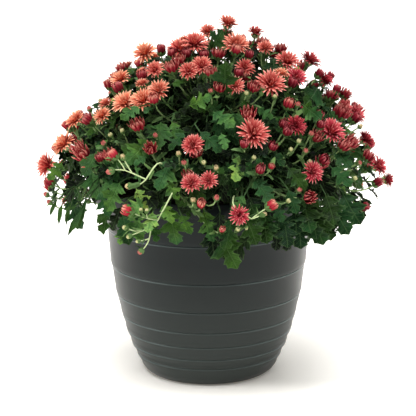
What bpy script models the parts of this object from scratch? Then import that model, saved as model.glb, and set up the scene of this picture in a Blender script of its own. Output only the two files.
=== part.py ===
"""Pot chrysanthemum: a domed, many-stemmed plant in bloom, standing in a ringed plastic pot.

Metres, +Z up. The origin is the centre of the pot's flat base. The side that is seen first faces -Y.
"""

import math
import random

import bmesh
import bpy
from mathutils import Vector
from mathutils.bvhtree import BVHTree

UP = Vector((0.0, 0.0, 1.0))
GAP = 0.0003
SEED = 11

# Steps of an even two-way spread, in shares of its two ranges: powers of the plastic ratio
EVEN_STEPS = (0.7548776662, 0.5698402910)

# Pot: a 305 mm ringed pot, read as the radius and height of its turned outline
RIM_RADIUS = 0.1525
RIM_TOP = 0.252
RIM_BOTTOM = 0.234
RIM_WALL = 0.003
RIM_ROUND = 0.0015
BODY_TOP_RADIUS = 0.132
TIER_EDGES = (
    (0.1285, 0.1935),
    (0.1235, 0.144),
    (0.118, 0.1065),
    (0.1115, 0.0785),
    (0.106, 0.058),
    (0.0995, 0.040),
    (0.093, 0.026),
)
TIER_ROUND_HEIGHT = 0.007
TIER_ROUND_SHARE = 0.35
TIER_OVERHANG = 0.0028
FOOT_OUTLINE = ((0.088, 0.012), (0.080, 0.003), (0.0755, 0.0))
FLOOR = 0.004
INSIDE_OUTLINE = (
    (0.0715, FLOOR),
    (0.087, 0.018),
    (0.0955, 0.040),
    (0.1085, 0.080),
    (0.1195, 0.144),
    (0.1245, 0.1935),
    (0.129, 0.237),
)
POT_SEGMENTS = 24
DRAIN_HOLES = 4
DRAIN_RADIUS = 0.0045
DRAIN_RING = 0.045

# Soil: fills the pot to a little under its rim, with a low crumbly crown
SOIL_EDGE = 0.222
SOIL_CROWN = 0.008
SOIL_RINGS = (0.096, 0.048)
SOIL_CRUMB = 0.003
SOIL_CLEARANCE = 0.0005
STEM_DEPTH = 0.028
HOLE_RADIUS = 0.0042

# Dome of the plant: how far blooms and leaves reach from the heart of the plant
HEART = Vector((0.006, 0.0, 0.245))
DOME_SPREAD = 0.212
DOME_RISE = 0.205
DOME_DROP = 0.085
DOME_POWER = 1.6

# Stems: how many in each ring, their lean from upright, first heading and distance of the foot from the axis
STEM_RINGS = (
    (1, math.radians(5), math.radians(80), 0.004),
    (5, math.radians(37), math.radians(54), 0.030),
    (9, math.radians(75), math.radians(10), 0.064),
)
STEM_REACH = 0.72
STEM_WAVER = 0.06
STEM_WAVER_TURN = math.radians(137.5)
STEM_KNEE_SPREAD = 1.15
STEM_KNEE_RISE = 0.75
STEM_KNEE_LIFT = 0.012
STEM_STEPS = 4
STEM_FOOT_RADIUS = 0.0030
STEM_TIP_RADIUS = 0.0018
STEM_RISE_ABOVE_SOIL = 0.008

# Stalks that carry blooms, half-open blooms and buds: they start from these shares of a stem's length
STALK_RADIUS = 0.0013
STALK_ROOT_SHARE = 0.8
STALK_KNEE_SHARE = 0.35
ROOT_SPACING = 0.0033
ROOT_SHARES = [0.28 + 0.01 * step for step in range(73)]
CALYX_RADIUS = 0.0055
CALYX_HEIGHT = 0.0045
BUD_RADIUS = 0.0036
BUD_LENGTH = 0.0075
BUD_NECK_SHARE = 0.4
BUD_TIP_SHARE = 0.35
HALF_OPEN_RADIUS = 0.0068

# Petals of a bloom in shares of its radius. Each layer has the reach of its tips, the reach of its gaps
# and the heights of both. Between two layers lies a valley with its reach and height.
LARGE_BLOOM_RADIUS = 0.0175
LARGE_BLOOM = {
    "petals": 9,
    "layers": ((1.0, 0.58, 0.16, 0.06), (0.80, 0.46, 0.46, 0.26), (0.46, 0.26, 0.66, 0.46)),
    "valleys": ((0.38, 0.18), (0.22, 0.36)),
    "top": 0.40,
    "root": -0.34,
}
SMALL_BLOOM = {
    "petals": 8,
    "layers": ((1.0, 0.60, 0.30, 0.14), (0.64, 0.38, 0.62, 0.42)),
    "valleys": ((0.32, 0.24),),
    "top": 0.34,
    "root": -0.34,
}
HALF_OPEN_BLOOM = {
    "petals": 5,
    "layers": ((1.0, 0.80, 1.05, 0.70),),
    "valleys": (),
    "top": 0.55,
    "root": -0.75,
}

# Facing of a bloom: shares of the way out of the dome, of upright and of chance
FACING_OUT = 0.8
FACING_UP = 0.35
FACING_CHANCE = 0.22

# Places of the open blooms that face the viewer: how far each stands to the right of the axis, how high, and
# its diameter, in millimetres. The places are read in the upright plane through the pot's axis, as they show
# from the reading point.
READING_POINT = Vector((0.0, -2.33, 0.752))
SIGHT_START = 0.86
SIGHT_STEP = 0.001
SIGHT_STEPS = 240
NEAR_BLOOMS = (
    (27, 452, 28),
    (37, 425, 34),
    (-15, 427, 34),
    (-38, 418, 32),
    (2, 442, 24),
    (-78, 415, 32),
    (62, 440, 24),
    (74, 420, 22),
    (102, 403, 32),
    (131, 404, 32),
    (113, 382, 28),
    (81, 374, 38),
    (48, 395, 24),
    (36, 372, 24),
    (-62, 367, 28),
    (-86, 352, 32),
    (-114, 350, 32),
    (-66, 393, 24),
    (-168, 330, 28),
    (-184, 299, 34),
    (-206, 271, 38),
    (-19, 296, 26),
    (59, 310, 38),
    (113, 320, 26),
    (159, 312, 36),
    (176, 342, 26),
    (197, 329, 30),
    (202, 302, 28),
    (135, 259, 27),
    (219, 266, 28),
    (231, 248, 22),
    (-21, 246, 25),
    (6, 250, 22),
    (40, 203, 23),
    (-6, 398, 26),
    (-32, 388, 24),
    (-134, 335, 24),
    (-110, 382, 26),
    (150, 378, 26),
)

# Upper outline of the plant, read in the same plane: how far to the right of the axis and how high. What stands
# by the rule alone stays under it.
SEEN_TOP = (
    (-222, 262),
    (-204, 288),
    (-179, 328),
    (-154, 347),
    (-141, 350),
    (-129, 372),
    (-116, 393),
    (-91, 418),
    (-66, 424),
    (-46, 424),
    (-34, 437),
    (-15, 442),
    (10, 448),
    (23, 459),
    (35, 457),
    (60, 447),
    (73, 431),
    (98, 418),
    (111, 410),
    (136, 412),
    (149, 390),
    (174, 366),
    (186, 344),
    (199, 338),
    (212, 292),
    (240, 262),
)

# Where a near bloom doesn't fit, it is tried nearer or deeper along the line of sight, and then smaller
NEAR_TRIES = (
    (0.0, 1.0),
    (0.0, 1.0),
    (-0.004, 1.0),
    (0.004, 1.0),
    (-0.008, 1.0),
    (0.008, 0.95),
    (-0.012, 0.95),
    (0.0, 0.90),
    (-0.016, 0.90),
    (0.014, 0.90),
    (-0.020, 0.85),
    (0.0, 0.80),
)

# Open blooms of the far side, spread by a rule, some with a companion that touches them
BLOOM_GROUPS = 43
GROUP_SIZE = 3
FAR_BLOOMS = 16
FAR_TRIES = 600
FAR_SPAN = 1.12
FAR_SIDE = 0.12
FAR_DIAMETERS = (0.025, 0.033)
FAR_COMPANION_SHARE = 0.55
LOWER_STEPS = 6
LOWER_SHARE = 0.03
BLOOM_HEIGHT_SHARE = 0.8
SMALL_HEIGHT = 0.007
COMPANION_TRIES = 6
COMPANION_DISTANCE = 1.68
COMPANION_SIZE = 0.88

# Blooms of one group cross each other in at least this many faces, and face alike
TOUCHING_FACES = 6
COMPANION_ACCORD = 3.0
GROUP_REACH = 1.25
DRAW_STEPS = 12
DRAW_SHARE = 0.03

# Half-open blooms and buds, and the places of the pale spray that hangs over the rim at the near side
HALF_OPEN_COUNT = 17
BUD_COUNT = 12
SMALL_TRIES = 14
SMALL_LEAN = 1.15
SMALL_REACHES = (0.96, 1.05)
HANGING_SPRAY = ((-100, 212), (-110, 196), (-108, 178), (-90, 168), (-92, 152), (-122, 230))
SPRAY_DROOP = 0.4

# Leaves: two rounds, each with the count of leaves reached at its end and the spacing between leaf middles
LEAF_ROUNDS = ((64, 0.030), (94, 0.018))
LEAF_TRIES = 600
LEAF_TOP = 0.93
LEAF_SPAN = 1.30
LEAF_POSES = 20
LEAF_REACHES = (0.74, 0.97)
LEAF_LENGTHS = (0.058, 0.036)
LEAF_STEMS = 3
LEAF_ROOTS = 4
LEAF_ROOT_SPACING = 0.0024
LEAF_MIDDLE = 0.45

# Facing of a leaf: shares of the way out of the dome, of upright and of chance. Its tip: shares of the level way
# out, of straight down and of chance.
LEAF_FACING = (0.8, 0.5, 0.4)
LEAF_TIP = (0.5, 0.7, 0.8)
LEAF_LEAST_TURN = 0.5
LEAF_LEAST_ACCORD = -0.5
LEAF_RIB_DEPTH = 0.0018
LEAF_OUTLINE = (
    (0.00, 0.04),
    (0.24, 0.32),
    (0.36, 0.15),
    (0.60, 0.36),
    (0.72, 0.17),
    (1.00, 0.06),
)
LEAF_STALK_HALF_WIDTH = 0.0012
LEAF_STALK_SHORTEST = 0.008
LEAF_BEND = 0.22

# Clearances kept between pieces while they are laid out
MARGIN = 0.0004
POT_CLEARANCE = 0.003

COLOURS = {
    "charcoal plastic": ((0.045, 0.055, 0.055), 0.38),
    "potting soil": ((0.035, 0.022, 0.014), 0.95),
    "leaf green": ((0.055, 0.15, 0.06), 0.6),
    "coral petals": ((0.70, 0.13, 0.08), 0.6),
    "crimson petals": ((0.35, 0.02, 0.035), 0.6),
}


def material(name):
    """Returns the plain material of that name."""
    made = bpy.data.materials.get(name)
    if made is None:
        colour, roughness = COLOURS[name]
        made = bpy.data.materials.new(name)
        made.use_nodes = True
        shader = made.node_tree.nodes["Principled BSDF"]
        shader.inputs["Base Color"].default_value = (*colour, 1.0)
        shader.inputs["Roughness"].default_value = roughness
        shader.inputs["Metallic"].default_value = 0.0
    return made


def new_object(name, data, collection, material_name=None):
    """Adds an object for the mesh or curve to the collection."""
    made = bpy.data.objects.new(name, data)
    collection.objects.link(made)
    if material_name is not None:
        made.data.materials.append(material(material_name))
    return made


def new_collection(name):
    """Adds a collection to the scene."""
    made = bpy.data.collections.new(name)
    bpy.context.scene.collection.children.link(made)
    return made


def mesh_from(bm, name):
    """Turns a bmesh into a mesh and frees it."""
    mesh = bpy.data.meshes.new(name)
    bmesh.ops.recalc_face_normals(bm, faces=bm.faces)
    bm.to_mesh(mesh)
    bm.free()
    return mesh


def turned(name, outline, collection, material_name):
    """A solid turned round the Z axis from an outline of (radius, height) points."""
    bm = bmesh.new()
    points = [bm.verts.new((radius, 0.0, height)) for radius, height in outline]
    for start, end in zip(points, points[1:]):
        bm.edges.new((start, end))
    mesh = bpy.data.meshes.new(name)
    bm.to_mesh(mesh)
    bm.free()
    made = new_object(name, mesh, collection, material_name)
    screw = made.modifiers.new("turn", "SCREW")
    screw.steps = POT_SEGMENTS
    screw.render_steps = POT_SEGMENTS
    screw.use_merge_vertices = True
    screw.merge_threshold = 0.00001
    return made


def apply_modifiers(made):
    """Replaces the object's mesh by the one its modifiers give."""
    graph = bpy.context.evaluated_depsgraph_get()
    made.data = bpy.data.meshes.new_from_object(made.evaluated_get(graph))
    made.modifiers.clear()


def cut(made, cutter):
    """Cuts the cutter out of the object."""
    difference = made.modifiers.new("cut", "BOOLEAN")
    difference.operation = "DIFFERENCE"
    difference.solver = "EXACT"
    difference.object = cutter


def hole_cutter(name, x, y, low, high, radius, sides, collection):
    """An upright drill of that radius, hidden from renders."""
    bm = bmesh.new()
    bmesh.ops.create_cone(
        bm, cap_ends=True, segments=sides, radius1=radius, radius2=radius, depth=high - low
    )
    bmesh.ops.translate(bm, verts=bm.verts, vec=(x, y, (low + high) / 2))
    cutter = new_object(name, mesh_from(bm, name), collection)
    cutter.hide_render = True
    cutter.display_type = "WIRE"
    return cutter


def pot_outline():
    """The pot's section: inside from the floor to the rim, then down its tiers to the base."""
    outline = [(0.0, FLOOR), *INSIDE_OUTLINE]
    outline.append((RIM_RADIUS - RIM_WALL - RIM_ROUND, RIM_BOTTOM + RIM_WALL + RIM_ROUND))
    outline.append((RIM_RADIUS - RIM_WALL, RIM_TOP - RIM_ROUND))
    outline.append((RIM_RADIUS - RIM_ROUND, RIM_TOP))
    outline.append((RIM_RADIUS, RIM_TOP - RIM_ROUND))
    outline.append((RIM_RADIUS, RIM_BOTTOM))
    outline.append((BODY_TOP_RADIUS, RIM_BOTTOM))
    above = RIM_BOTTOM
    for radius, height in TIER_EDGES:
        rounding = min(TIER_ROUND_HEIGHT, (above - height) * TIER_ROUND_SHARE)
        outline.append((radius + TIER_OVERHANG, height + rounding))
        outline.append((radius, height))
        above = height
    outline.extend(FOOT_OUTLINE)
    outline.append((0.0, 0.0))
    return outline


def make_pot(parts, cutters):
    """The ringed pot with its overhanging rim and drain holes."""
    pot = turned("pot", pot_outline(), parts, "charcoal plastic")
    for index in range(DRAIN_HOLES):
        heading = 2 * math.pi * (index + 0.5) / DRAIN_HOLES
        x = DRAIN_RING * math.cos(heading)
        y = DRAIN_RING * math.sin(heading)
        name = f"drain_cutter_{index + 1}"
        cutter = hole_cutter(name, x, y, -FLOOR, 2 * FLOOR, DRAIN_RADIUS, 8, cutters)
        cut(pot, cutter)
    return pot


def soil_height(radius):
    """Height of the smooth soil surface at that distance from the axis."""
    return SOIL_EDGE + SOIL_CROWN * (1 - (radius / SOIL_RINGS[0]) ** 2)


def inside_radius(height):
    """Radius of the pot's inside at that height."""
    for (low_radius, low), (high_radius, high) in zip(INSIDE_OUTLINE, INSIDE_OUTLINE[1:]):
        if low <= height <= high:
            return low_radius + (high_radius - low_radius) * (height - low) / (high - low)
    return INSIDE_OUTLINE[-1][0]


def make_soil(parts, cutters, stems):
    """Potting soil to a little under the rim, with a plain hole for the foot of each stem."""
    outline = [(0.0, soil_height(0.0))]
    outline += [(radius, soil_height(radius)) for radius in reversed(SOIL_RINGS)]
    outline.append((inside_radius(SOIL_EDGE) - SOIL_CLEARANCE, SOIL_EDGE))
    wall = [(radius, height) for radius, height in INSIDE_OUTLINE if height < SOIL_EDGE]
    outline += [(radius - SOIL_CLEARANCE, height) for radius, height in reversed(wall[1:])]
    outline.append((wall[0][0] - SOIL_CLEARANCE, FLOOR + GAP))
    outline.append((0.0, FLOOR + GAP))
    soil = turned("soil", outline, parts, "potting soil")
    apply_modifiers(soil)
    draw = random.Random(SEED)
    for vertex in soil.data.vertices:
        inside = math.hypot(vertex.co.x, vertex.co.y) < SOIL_RINGS[0] + SOIL_CRUMB
        if inside and vertex.co.z > SOIL_EDGE - SOIL_CRUMB:
            vertex.co.z += draw.uniform(-SOIL_CRUMB, SOIL_CRUMB) / 2
    for index, stem in enumerate(stems):
        foot = stem["path"][0]
        name = f"stem_hole_cutter_{index + 1}"
        low = foot.z - GAP
        cutter = hole_cutter(name, foot.x, foot.y, low, RIM_TOP, HOLE_RADIUS, 6, cutters)
        cut(soil, cutter)
    return soil


def heading_vector(lean, heading):
    """Unit vector that leans from upright towards a heading round the axis."""
    sideways = math.sin(lean)
    return Vector((sideways * math.cos(heading), sideways * math.sin(heading), math.cos(lean)))


def dome_radius(direction):
    """Reach of the dome from its heart in a unit direction."""
    side = math.hypot(direction.x, direction.y) / DOME_SPREAD
    rising = direction.z > 0
    rise = abs(direction.z) / (DOME_RISE if rising else DOME_DROP)
    power = DOME_POWER if rising else 2.0
    return (side**power + rise**power) ** (-1 / power)


def line_of_sight(aside_mm, high_mm):
    """The way from the reading point to a place of the upright plane, in millimetres."""
    return Vector((aside_mm / 1000, 0.0, high_mm / 1000)) - READING_POINT


def seen_place(aside_mm, high_mm):
    """Point of the dome's near side that shows at that place of the upright plane."""
    line = line_of_sight(aside_mm, high_mm)
    best = None
    for step in range(SIGHT_STEPS):
        point = READING_POINT + line * (SIGHT_START + step * SIGHT_STEP)
        offset = point - HEART
        outside = offset.length - dome_radius(offset.normalized())
        if outside < 0:
            return point
        if best is None or outside < best[0]:
            best = (outside, point)
    return best[1]


def under_seen_top(point, height=0.0):
    """True when a thing of that height at a point doesn't show over the upper outline."""
    line = point - READING_POINT
    shown = READING_POINT - line * (READING_POINT.y / line.y)
    aside = shown.x * 1000
    for (left, left_top), (right, right_top) in zip(SEEN_TOP, SEEN_TOP[1:]):
        if left <= aside <= right:
            top = left_top + (right_top - left_top) * (aside - left) / (right - left)
            return (shown.z + height) * 1000 < top
    return False


def seen_at_depth(aside_mm, high_mm, depth):
    """Point that shows at that place of the upright plane and lies as deep as given along Y."""
    line = line_of_sight(aside_mm, high_mm)
    return READING_POINT + line * ((depth - READING_POINT.y) / line.y)


def spread_direction(index, top, span):
    """Unit vector of that number in an even spread, whose rise runs from the top down over the span."""
    rise = top - span * ((0.5 + index * EVEN_STEPS[0]) % 1.0)
    return heading_vector(math.acos(rise), 2 * math.pi * index * EVEN_STEPS[1])


def random_direction(draw):
    """Unit vector with an even spread."""
    rise = draw.uniform(-1, 1)
    return heading_vector(math.acos(rise), draw.uniform(-math.pi, math.pi))


def make_stem(number, lean, heading, foot_distance):
    """A stem that rises out of the soil and leans out to its place under the dome."""
    direction = heading_vector(lean, heading)
    foot = Vector((math.cos(heading), math.sin(heading), 0.0)) * foot_distance
    foot.z = soil_height(foot_distance) - STEM_DEPTH
    clear = foot + UP * (STEM_DEPTH + STEM_RISE_ABOVE_SOIL)
    tip = HEART + direction * dome_radius(direction) * STEM_REACH
    rise = STEM_KNEE_RISE * (tip.z - clear.z) + STEM_KNEE_LIFT
    knee = Vector((foot.x * STEM_KNEE_SPREAD, foot.y * STEM_KNEE_SPREAD, clear.z + rise))
    path = [foot, clear]
    for step in range(1, STEM_STEPS + 1):
        t = step / STEM_STEPS
        path.append(clear * (1 - t) ** 2 + knee * (2 * t * (1 - t)) + tip * t**2)
    return {"name": f"leafy_stem_{number:02d}", "direction": direction, "path": path}


def make_stems():
    """All stems, ring by ring from the middle."""
    stems = []
    for count, lean, first, foot_distance in STEM_RINGS:
        for index in range(count):
            heading = first + 2 * math.pi * index / count
            tilt = lean * (1 + STEM_WAVER * math.sin(STEM_WAVER_TURN * index))
            stems.append(make_stem(len(stems) + 1, tilt, heading, foot_distance))
    return stems


def stem_point(stem, share):
    """Point at a share of the stem's free length."""
    path = stem["path"][1:]
    place = share * (len(path) - 1)
    index = min(int(place), len(path) - 2)
    return path[index].lerp(path[index + 1], place - index)


def stem_of(stems, point):
    """The stem whose heading is nearest to a point's."""
    direction = (point - HEART).normalized()
    return max(stems, key=lambda stem: stem["direction"].dot(direction))


def rosette(kind, radius):
    """A closed flower shape that faces +Z: layers of petals, each half a petal on from the last."""
    petals = kind["petals"]
    last = 2 * len(kind["layers"])
    bm = bmesh.new()
    bmesh.ops.create_uvsphere(bm, u_segments=2 * petals, v_segments=last, radius=1.0)
    for vertex in bm.verts:
        polar = math.acos(max(-1.0, min(1.0, -vertex.co.z)))
        level = round(polar / math.pi * last)
        place = round(math.atan2(vertex.co.y, vertex.co.x) * petals / math.pi)
        if level in (0, last):
            reach, height = 0.0, kind["top"] if level else kind["root"]
        elif level % 2:
            tip, gap, tip_height, gap_height = kind["layers"][level // 2]
            at_tip = (place + level // 2) % 2 == 0
            reach, height = (tip, tip_height) if at_tip else (gap, gap_height)
        else:
            place -= place % 2
            reach, height = kind["valleys"][level // 2 - 1]
        angle = place * math.pi / petals
        vertex.co = Vector((reach * math.cos(angle), reach * math.sin(angle), height)) * radius
    bmesh.ops.remove_doubles(bm, verts=bm.verts, dist=0.000001)
    return bm


def stand(bm, place, facing):
    """Turns a shape that faces +Z to a facing and moves it to its place."""
    bmesh.ops.rotate(bm, verts=bm.verts, cent=(0, 0, 0), matrix=UP.rotation_difference(facing).to_matrix())
    bmesh.ops.translate(bm, verts=bm.verts, vec=place)
    return bm


def bloom_shape(bloom, margin=0.0):
    """An open bloom: two layers of pointed petals, or three when it is large."""
    kind = LARGE_BLOOM if bloom["radius"] >= LARGE_BLOOM_RADIUS else SMALL_BLOOM
    return stand(rosette(kind, bloom["radius"] + margin), bloom["place"], bloom["facing"])


def half_open_shape(place, facing, margin=0.0):
    """A half-open bloom: one upright cup of petals."""
    return stand(rosette(HALF_OPEN_BLOOM, HALF_OPEN_RADIUS + margin), place, facing)


def square_to(direction):
    """A unit vector square to a direction."""
    other = UP if abs(direction.z) < 0.9 else Vector((1.0, 0.0, 0.0))
    return direction.cross(other).normalized()


def skin(path, radii):
    """Closed four-sided skin round a path, used to lay stalks clear of each other."""
    sections = []
    for index, (point, radius) in enumerate(zip(path, radii)):
        before = path[max(index - 1, 0)]
        after = path[min(index + 1, len(path) - 1)]
        along = (after - before).normalized()
        side = square_to(along) * radius
        other = along.cross(side)
        sections.append([point + side, point + other, point - side, point - other])
    return loft(sections)


def loft(sections):
    """Closed shape through sections of as many points each."""
    bm = bmesh.new()
    rings = [[bm.verts.new(point) for point in section] for section in sections]
    for near, far in zip(rings, rings[1:]):
        for i, corner in enumerate(near):
            j = (i + 1) % len(near)
            bm.faces.new((corner, near[j], far[j], far[i]))
    bm.faces.new(rings[0][::-1])
    bm.faces.new(rings[-1])
    return bm


def blade_rows(leaf):
    """Middle point, half width and upward direction of each row across a leaf's blade."""
    length = leaf["length"]
    rows = []
    for share, width in LEAF_OUTLINE:
        droop = LEAF_BEND * length * share**2
        middle = leaf["base"] + leaf["axis"] * (length * share) - leaf["normal"] * droop
        tilt = (leaf["normal"] + leaf["axis"] * (2 * LEAF_BEND * share)).normalized()
        rows.append((middle, width * length, tilt))
    return rows


def leaf_side(leaf):
    """Unit vector across a leaf."""
    return leaf["normal"].cross(leaf["axis"]).normalized()


def blade_lines(leaf):
    """The middle line and both edges of a leaf's blade."""
    side = leaf_side(leaf)
    rows = blade_rows(leaf)
    return [[middle + side * (width * edge) for middle, width, _ in rows] for edge in (-1, 0, 1)]


def bends_gently(leaf):
    """True when a leaf's blade doesn't fold back on its stalk."""
    stalk = leaf["base"] - leaf["root"]
    upright = stalk.cross(leaf_side(leaf))
    if stalk.length < LEAF_STALK_SHORTEST or upright.length < LEAF_LEAST_TURN * stalk.length:
        return False
    return stalk.normalized().dot(leaf["axis"]) > LEAF_LEAST_ACCORD


def row_sections(leaf, rows, margin):
    """The section of each row: flat above, with a rib along its underside."""
    side = leaf_side(leaf)
    sections = []
    for middle, half_width, normal in rows:
        spread = side * (half_width + margin)
        rib = normal * (LEAF_RIB_DEPTH + margin)
        left = middle - spread
        right = middle + spread
        if margin:
            lift = normal * margin
            sections.append([left + lift, right + lift, right - rib, left - rib])
        else:
            sections.append([left, right, middle - rib])
    return sections


def blade_shape(leaf, margin):
    """The lobed blade of a leaf."""
    return loft(row_sections(leaf, blade_rows(leaf), margin))


def leaf_shape(leaf, margin=0.0):
    """The lobed blade of a leaf with its stalk."""
    rows = blade_rows(leaf)
    stalk_normal = (leaf["base"] - leaf["root"]).cross(leaf_side(leaf)).normalized()
    middle, half_width, tilt = rows[0]
    rows[0] = (middle, half_width, (tilt + stalk_normal).normalized())
    rows.insert(0, (leaf["root"], LEAF_STALK_HALF_WIDTH, stalk_normal))
    return loft(row_sections(leaf, rows, margin))


class Room:
    """Keeps the shapes laid so far, and says whether a new one is clear of them."""

    def __init__(self):
        self.taken = []

    def probe(self, bm):
        """Search tree and box of a shape, which is freed."""
        low = Vector([min(vertex.co[k] for vertex in bm.verts) for k in range(3)])
        high = Vector([max(vertex.co[k] for vertex in bm.verts) for k in range(3)])
        tree = BVHTree.FromBMesh(bm)
        bm.free()
        return tree, low, high

    def take(self, bm, owner):
        """Adds a shape."""
        self.taken.append((*self.probe(bm), owner))

    def touched(self, bm, ignore=()):
        """Owners of the shapes that a shape touches, apart from those to ignore."""
        tree, low, high = self.probe(bm)
        owners = set()
        for other, other_low, other_high, owner in self.taken:
            if owner in ignore or owner in owners:
                continue
            if any(low[k] > other_high[k] or other_low[k] > high[k] for k in range(3)):
                continue
            if tree.overlap(other):
                owners.add(owner)
        return owners

    def free(self, bm, ignore=()):
        """True when the shape touches nothing, apart from the owners to ignore."""
        return not self.touched(bm, ignore)


def clear_of_pot(path):
    """True when a path stays outside the pot's rim and over the soil."""
    for start, end in zip(path, path[1:]):
        for step in range(7):
            point = start.lerp(end, step / 6)
            near_rim = math.hypot(point.x, point.y) < RIM_RADIUS + POT_CLEARANCE
            if near_rim and point.z < RIM_TOP + POT_CLEARANCE:
                return False
    return True


def pot_block():
    """A plain drum a little larger than the pot, which the plant hangs clear of."""
    radius = RIM_RADIUS + POT_CLEARANCE / 2
    sections = []
    for height in (0.0, RIM_TOP + POT_CLEARANCE / 2):
        headings = [2 * math.pi * step / POT_SEGMENTS for step in range(POT_SEGMENTS)]
        sections.append([heading_vector(math.pi / 2, angle) * radius + UP * height for angle in headings])
    return loft(sections)


def free_roots(stem, used, spacing):
    """Points of a stem that no other stalk or leaf starts from, those near its usual share first."""
    shares = sorted(ROOT_SHARES, key=lambda share: abs(share - STALK_ROOT_SHARE))
    points = [stem_point(stem, share) for share in shares]
    taken = used.setdefault(stem["name"], [])
    return [point for point in points if all((point - other).length > spacing for other in taken)]


def lay_stalk(room, stem, used, end, facing):
    """A stalk from a stem to a point that it meets squarely, clear of all else, or None."""
    for root in free_roots(stem, used, ROOT_SPACING):
        knee = end - facing * (STALK_KNEE_SHARE * (end - root).length)
        path = [root, knee, end]
        radii = [STALK_RADIUS + MARGIN] * 3
        tube_name = f"{stem['name']} tube"
        if not clear_of_pot(path):
            continue
        if not room.free(skin(path, radii), ignore=(stem["name"], tube_name)):
            continue
        upper = [root.lerp(knee, STALK_KNEE_SHARE), knee, end]
        if room.free(skin(upper, radii), ignore=(tube_name,)):
            return path
    return None


def bloom_facing(place, draw):
    """Facing of a bloom: out of the dome and somewhat up."""
    out = (place - HEART).normalized()
    chance = random_direction(draw) * FACING_CHANCE
    return (out * FACING_OUT + UP * FACING_UP + chance).normalized()


def joined_group(groups, bloom, owner):
    """The group of that name when the bloom crosses it well, or None."""
    tree = BVHTree.FromBMesh(bloom_shape(bloom))
    for group in groups:
        if group["name"] == owner and len(group["blooms"]) < GROUP_SIZE:
            others = [BVHTree.FromBMesh(bloom_shape(other)) for other in group["blooms"]]
            crossed = sum(len(tree.overlap(other)) for other in others)
            return group if crossed >= TOUCHING_FACES else None
    return None


def drawn_bloom(groups, bloom):
    """The bloom moved until it crosses a near neighbour of a group that has room, or None."""
    open_groups = [group for group in groups if len(group["blooms"]) < GROUP_SIZE]
    others = [other for group in open_groups for other in group["blooms"]]
    if not others:
        return None
    nearest = min(others, key=lambda other: (other["place"] - bloom["place"]).length)
    reach = GROUP_REACH * (nearest["radius"] + bloom["radius"])
    away = bloom["place"] - nearest["place"]
    if away.length > reach:
        return None
    facing = (bloom["facing"] + nearest["facing"] * COMPANION_ACCORD).normalized()
    fixed = BVHTree.FromBMesh(bloom_shape(nearest))
    for step in range(DRAW_STEPS):
        place = nearest["place"] + away * (1 - step * DRAW_SHARE)
        drawn = {"place": place, "facing": facing, "radius": bloom["radius"]}
        if len(fixed.overlap(BVHTree.FromBMesh(bloom_shape(drawn)))) >= TOUCHING_FACES:
            return drawn
    return None


def lay_drawn_bloom(room, stems, used, groups, bloom):
    """Takes room for a bloom, drawn to a neighbour if it can be, or returns False."""
    drawn = drawn_bloom(groups, bloom)
    if drawn is not None and lay_bloom(room, stems, used, groups, drawn):
        return True
    return lay_bloom(room, stems, used, groups, bloom)


def lay_bloom(room, stems, used, groups, bloom):
    """Takes room for a bloom, on its own or joined to the one group that it crosses, or returns False."""
    owners = room.touched(bloom_shape(bloom, MARGIN))
    group = None
    if owners:
        group = joined_group(groups, bloom, owners.pop())
        if group is None or owners:
            return False
    if group is None and len(groups) == BLOOM_GROUPS:
        return False
    stem = stem_of(stems, bloom["place"])
    stalk = lay_calyx(room, stem, used, bloom)
    if stalk is None:
        return False
    if group is None:
        group = {"name": f"bloom_{len(groups) + 1:02d}", "blooms": [], "stalks": []}
        groups.append(group)
    group["blooms"].append(bloom)
    group["stalks"].append(stalk)
    room.take(bloom_shape(bloom, MARGIN), group["name"])
    return True


def lay_calyx(room, stem, used, bloom):
    """Takes room for the stalk and calyx under a bloom, or returns None."""
    seat = bloom["place"] + bloom["facing"] * (SMALL_BLOOM["root"] * bloom["radius"] - GAP)
    path = lay_stalk(room, stem, used, seat - bloom["facing"] * CALYX_HEIGHT, bloom["facing"])
    if path is None:
        return None
    stalk = {"stem": stem["name"], "path": path, "end": seat, "kind": "calyx"}
    if not room.free(stalk_skin(stalk, MARGIN), ignore=(stem["name"], f"{stem['name']} tube")):
        return None
    used[stem["name"]].append(path[0])
    room.take(stalk_skin(stalk, MARGIN), stem["name"])
    return stalk


def stalk_radii(stalk):
    """Path and radii of a stalk, with its swollen end."""
    path = list(stalk["path"])
    radii = [STALK_RADIUS] * len(path)
    along = (path[-1] - path[-2]).normalized()
    if stalk["kind"] == "calyx":
        path.append(stalk["end"])
        radii.append(CALYX_RADIUS)
    if stalk["kind"] == "bud":
        path.append(path[-1] + along * (BUD_LENGTH * BUD_NECK_SHARE))
        radii.append(BUD_RADIUS)
        path.append(path[-2] + along * BUD_LENGTH)
        radii.append(BUD_RADIUS * BUD_TIP_SHARE)
    return path, radii


def stalk_skin(stalk, margin):
    """Closed skin round a stalk and its swollen end."""
    path, radii = stalk_radii(stalk)
    return skin(path, [radius + margin for radius in radii])


def lay_near_blooms(room, stems, used, groups, draw):
    """The open blooms of the near side, at the places read for them."""
    for aside_mm, high_mm, diameter_mm in NEAR_BLOOMS:
        for deeper, shrink in NEAR_TRIES:
            depth = seen_place(aside_mm, high_mm).y + deeper
            place = seen_at_depth(aside_mm, high_mm, depth)
            radius = diameter_mm / 2000 * shrink
            bloom = {"place": place, "facing": bloom_facing(place, draw), "radius": radius}
            if lay_drawn_bloom(room, stems, used, groups, bloom):
                break


def lowered_place(direction, height):
    """Place near the dome's surface where a thing of that height stays under the upper outline, or None."""
    for step in range(LOWER_STEPS):
        place = HEART + direction * (dome_radius(direction) * (1 - LOWER_SHARE * step))
        if under_seen_top(place, height):
            return place
    return None


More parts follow.
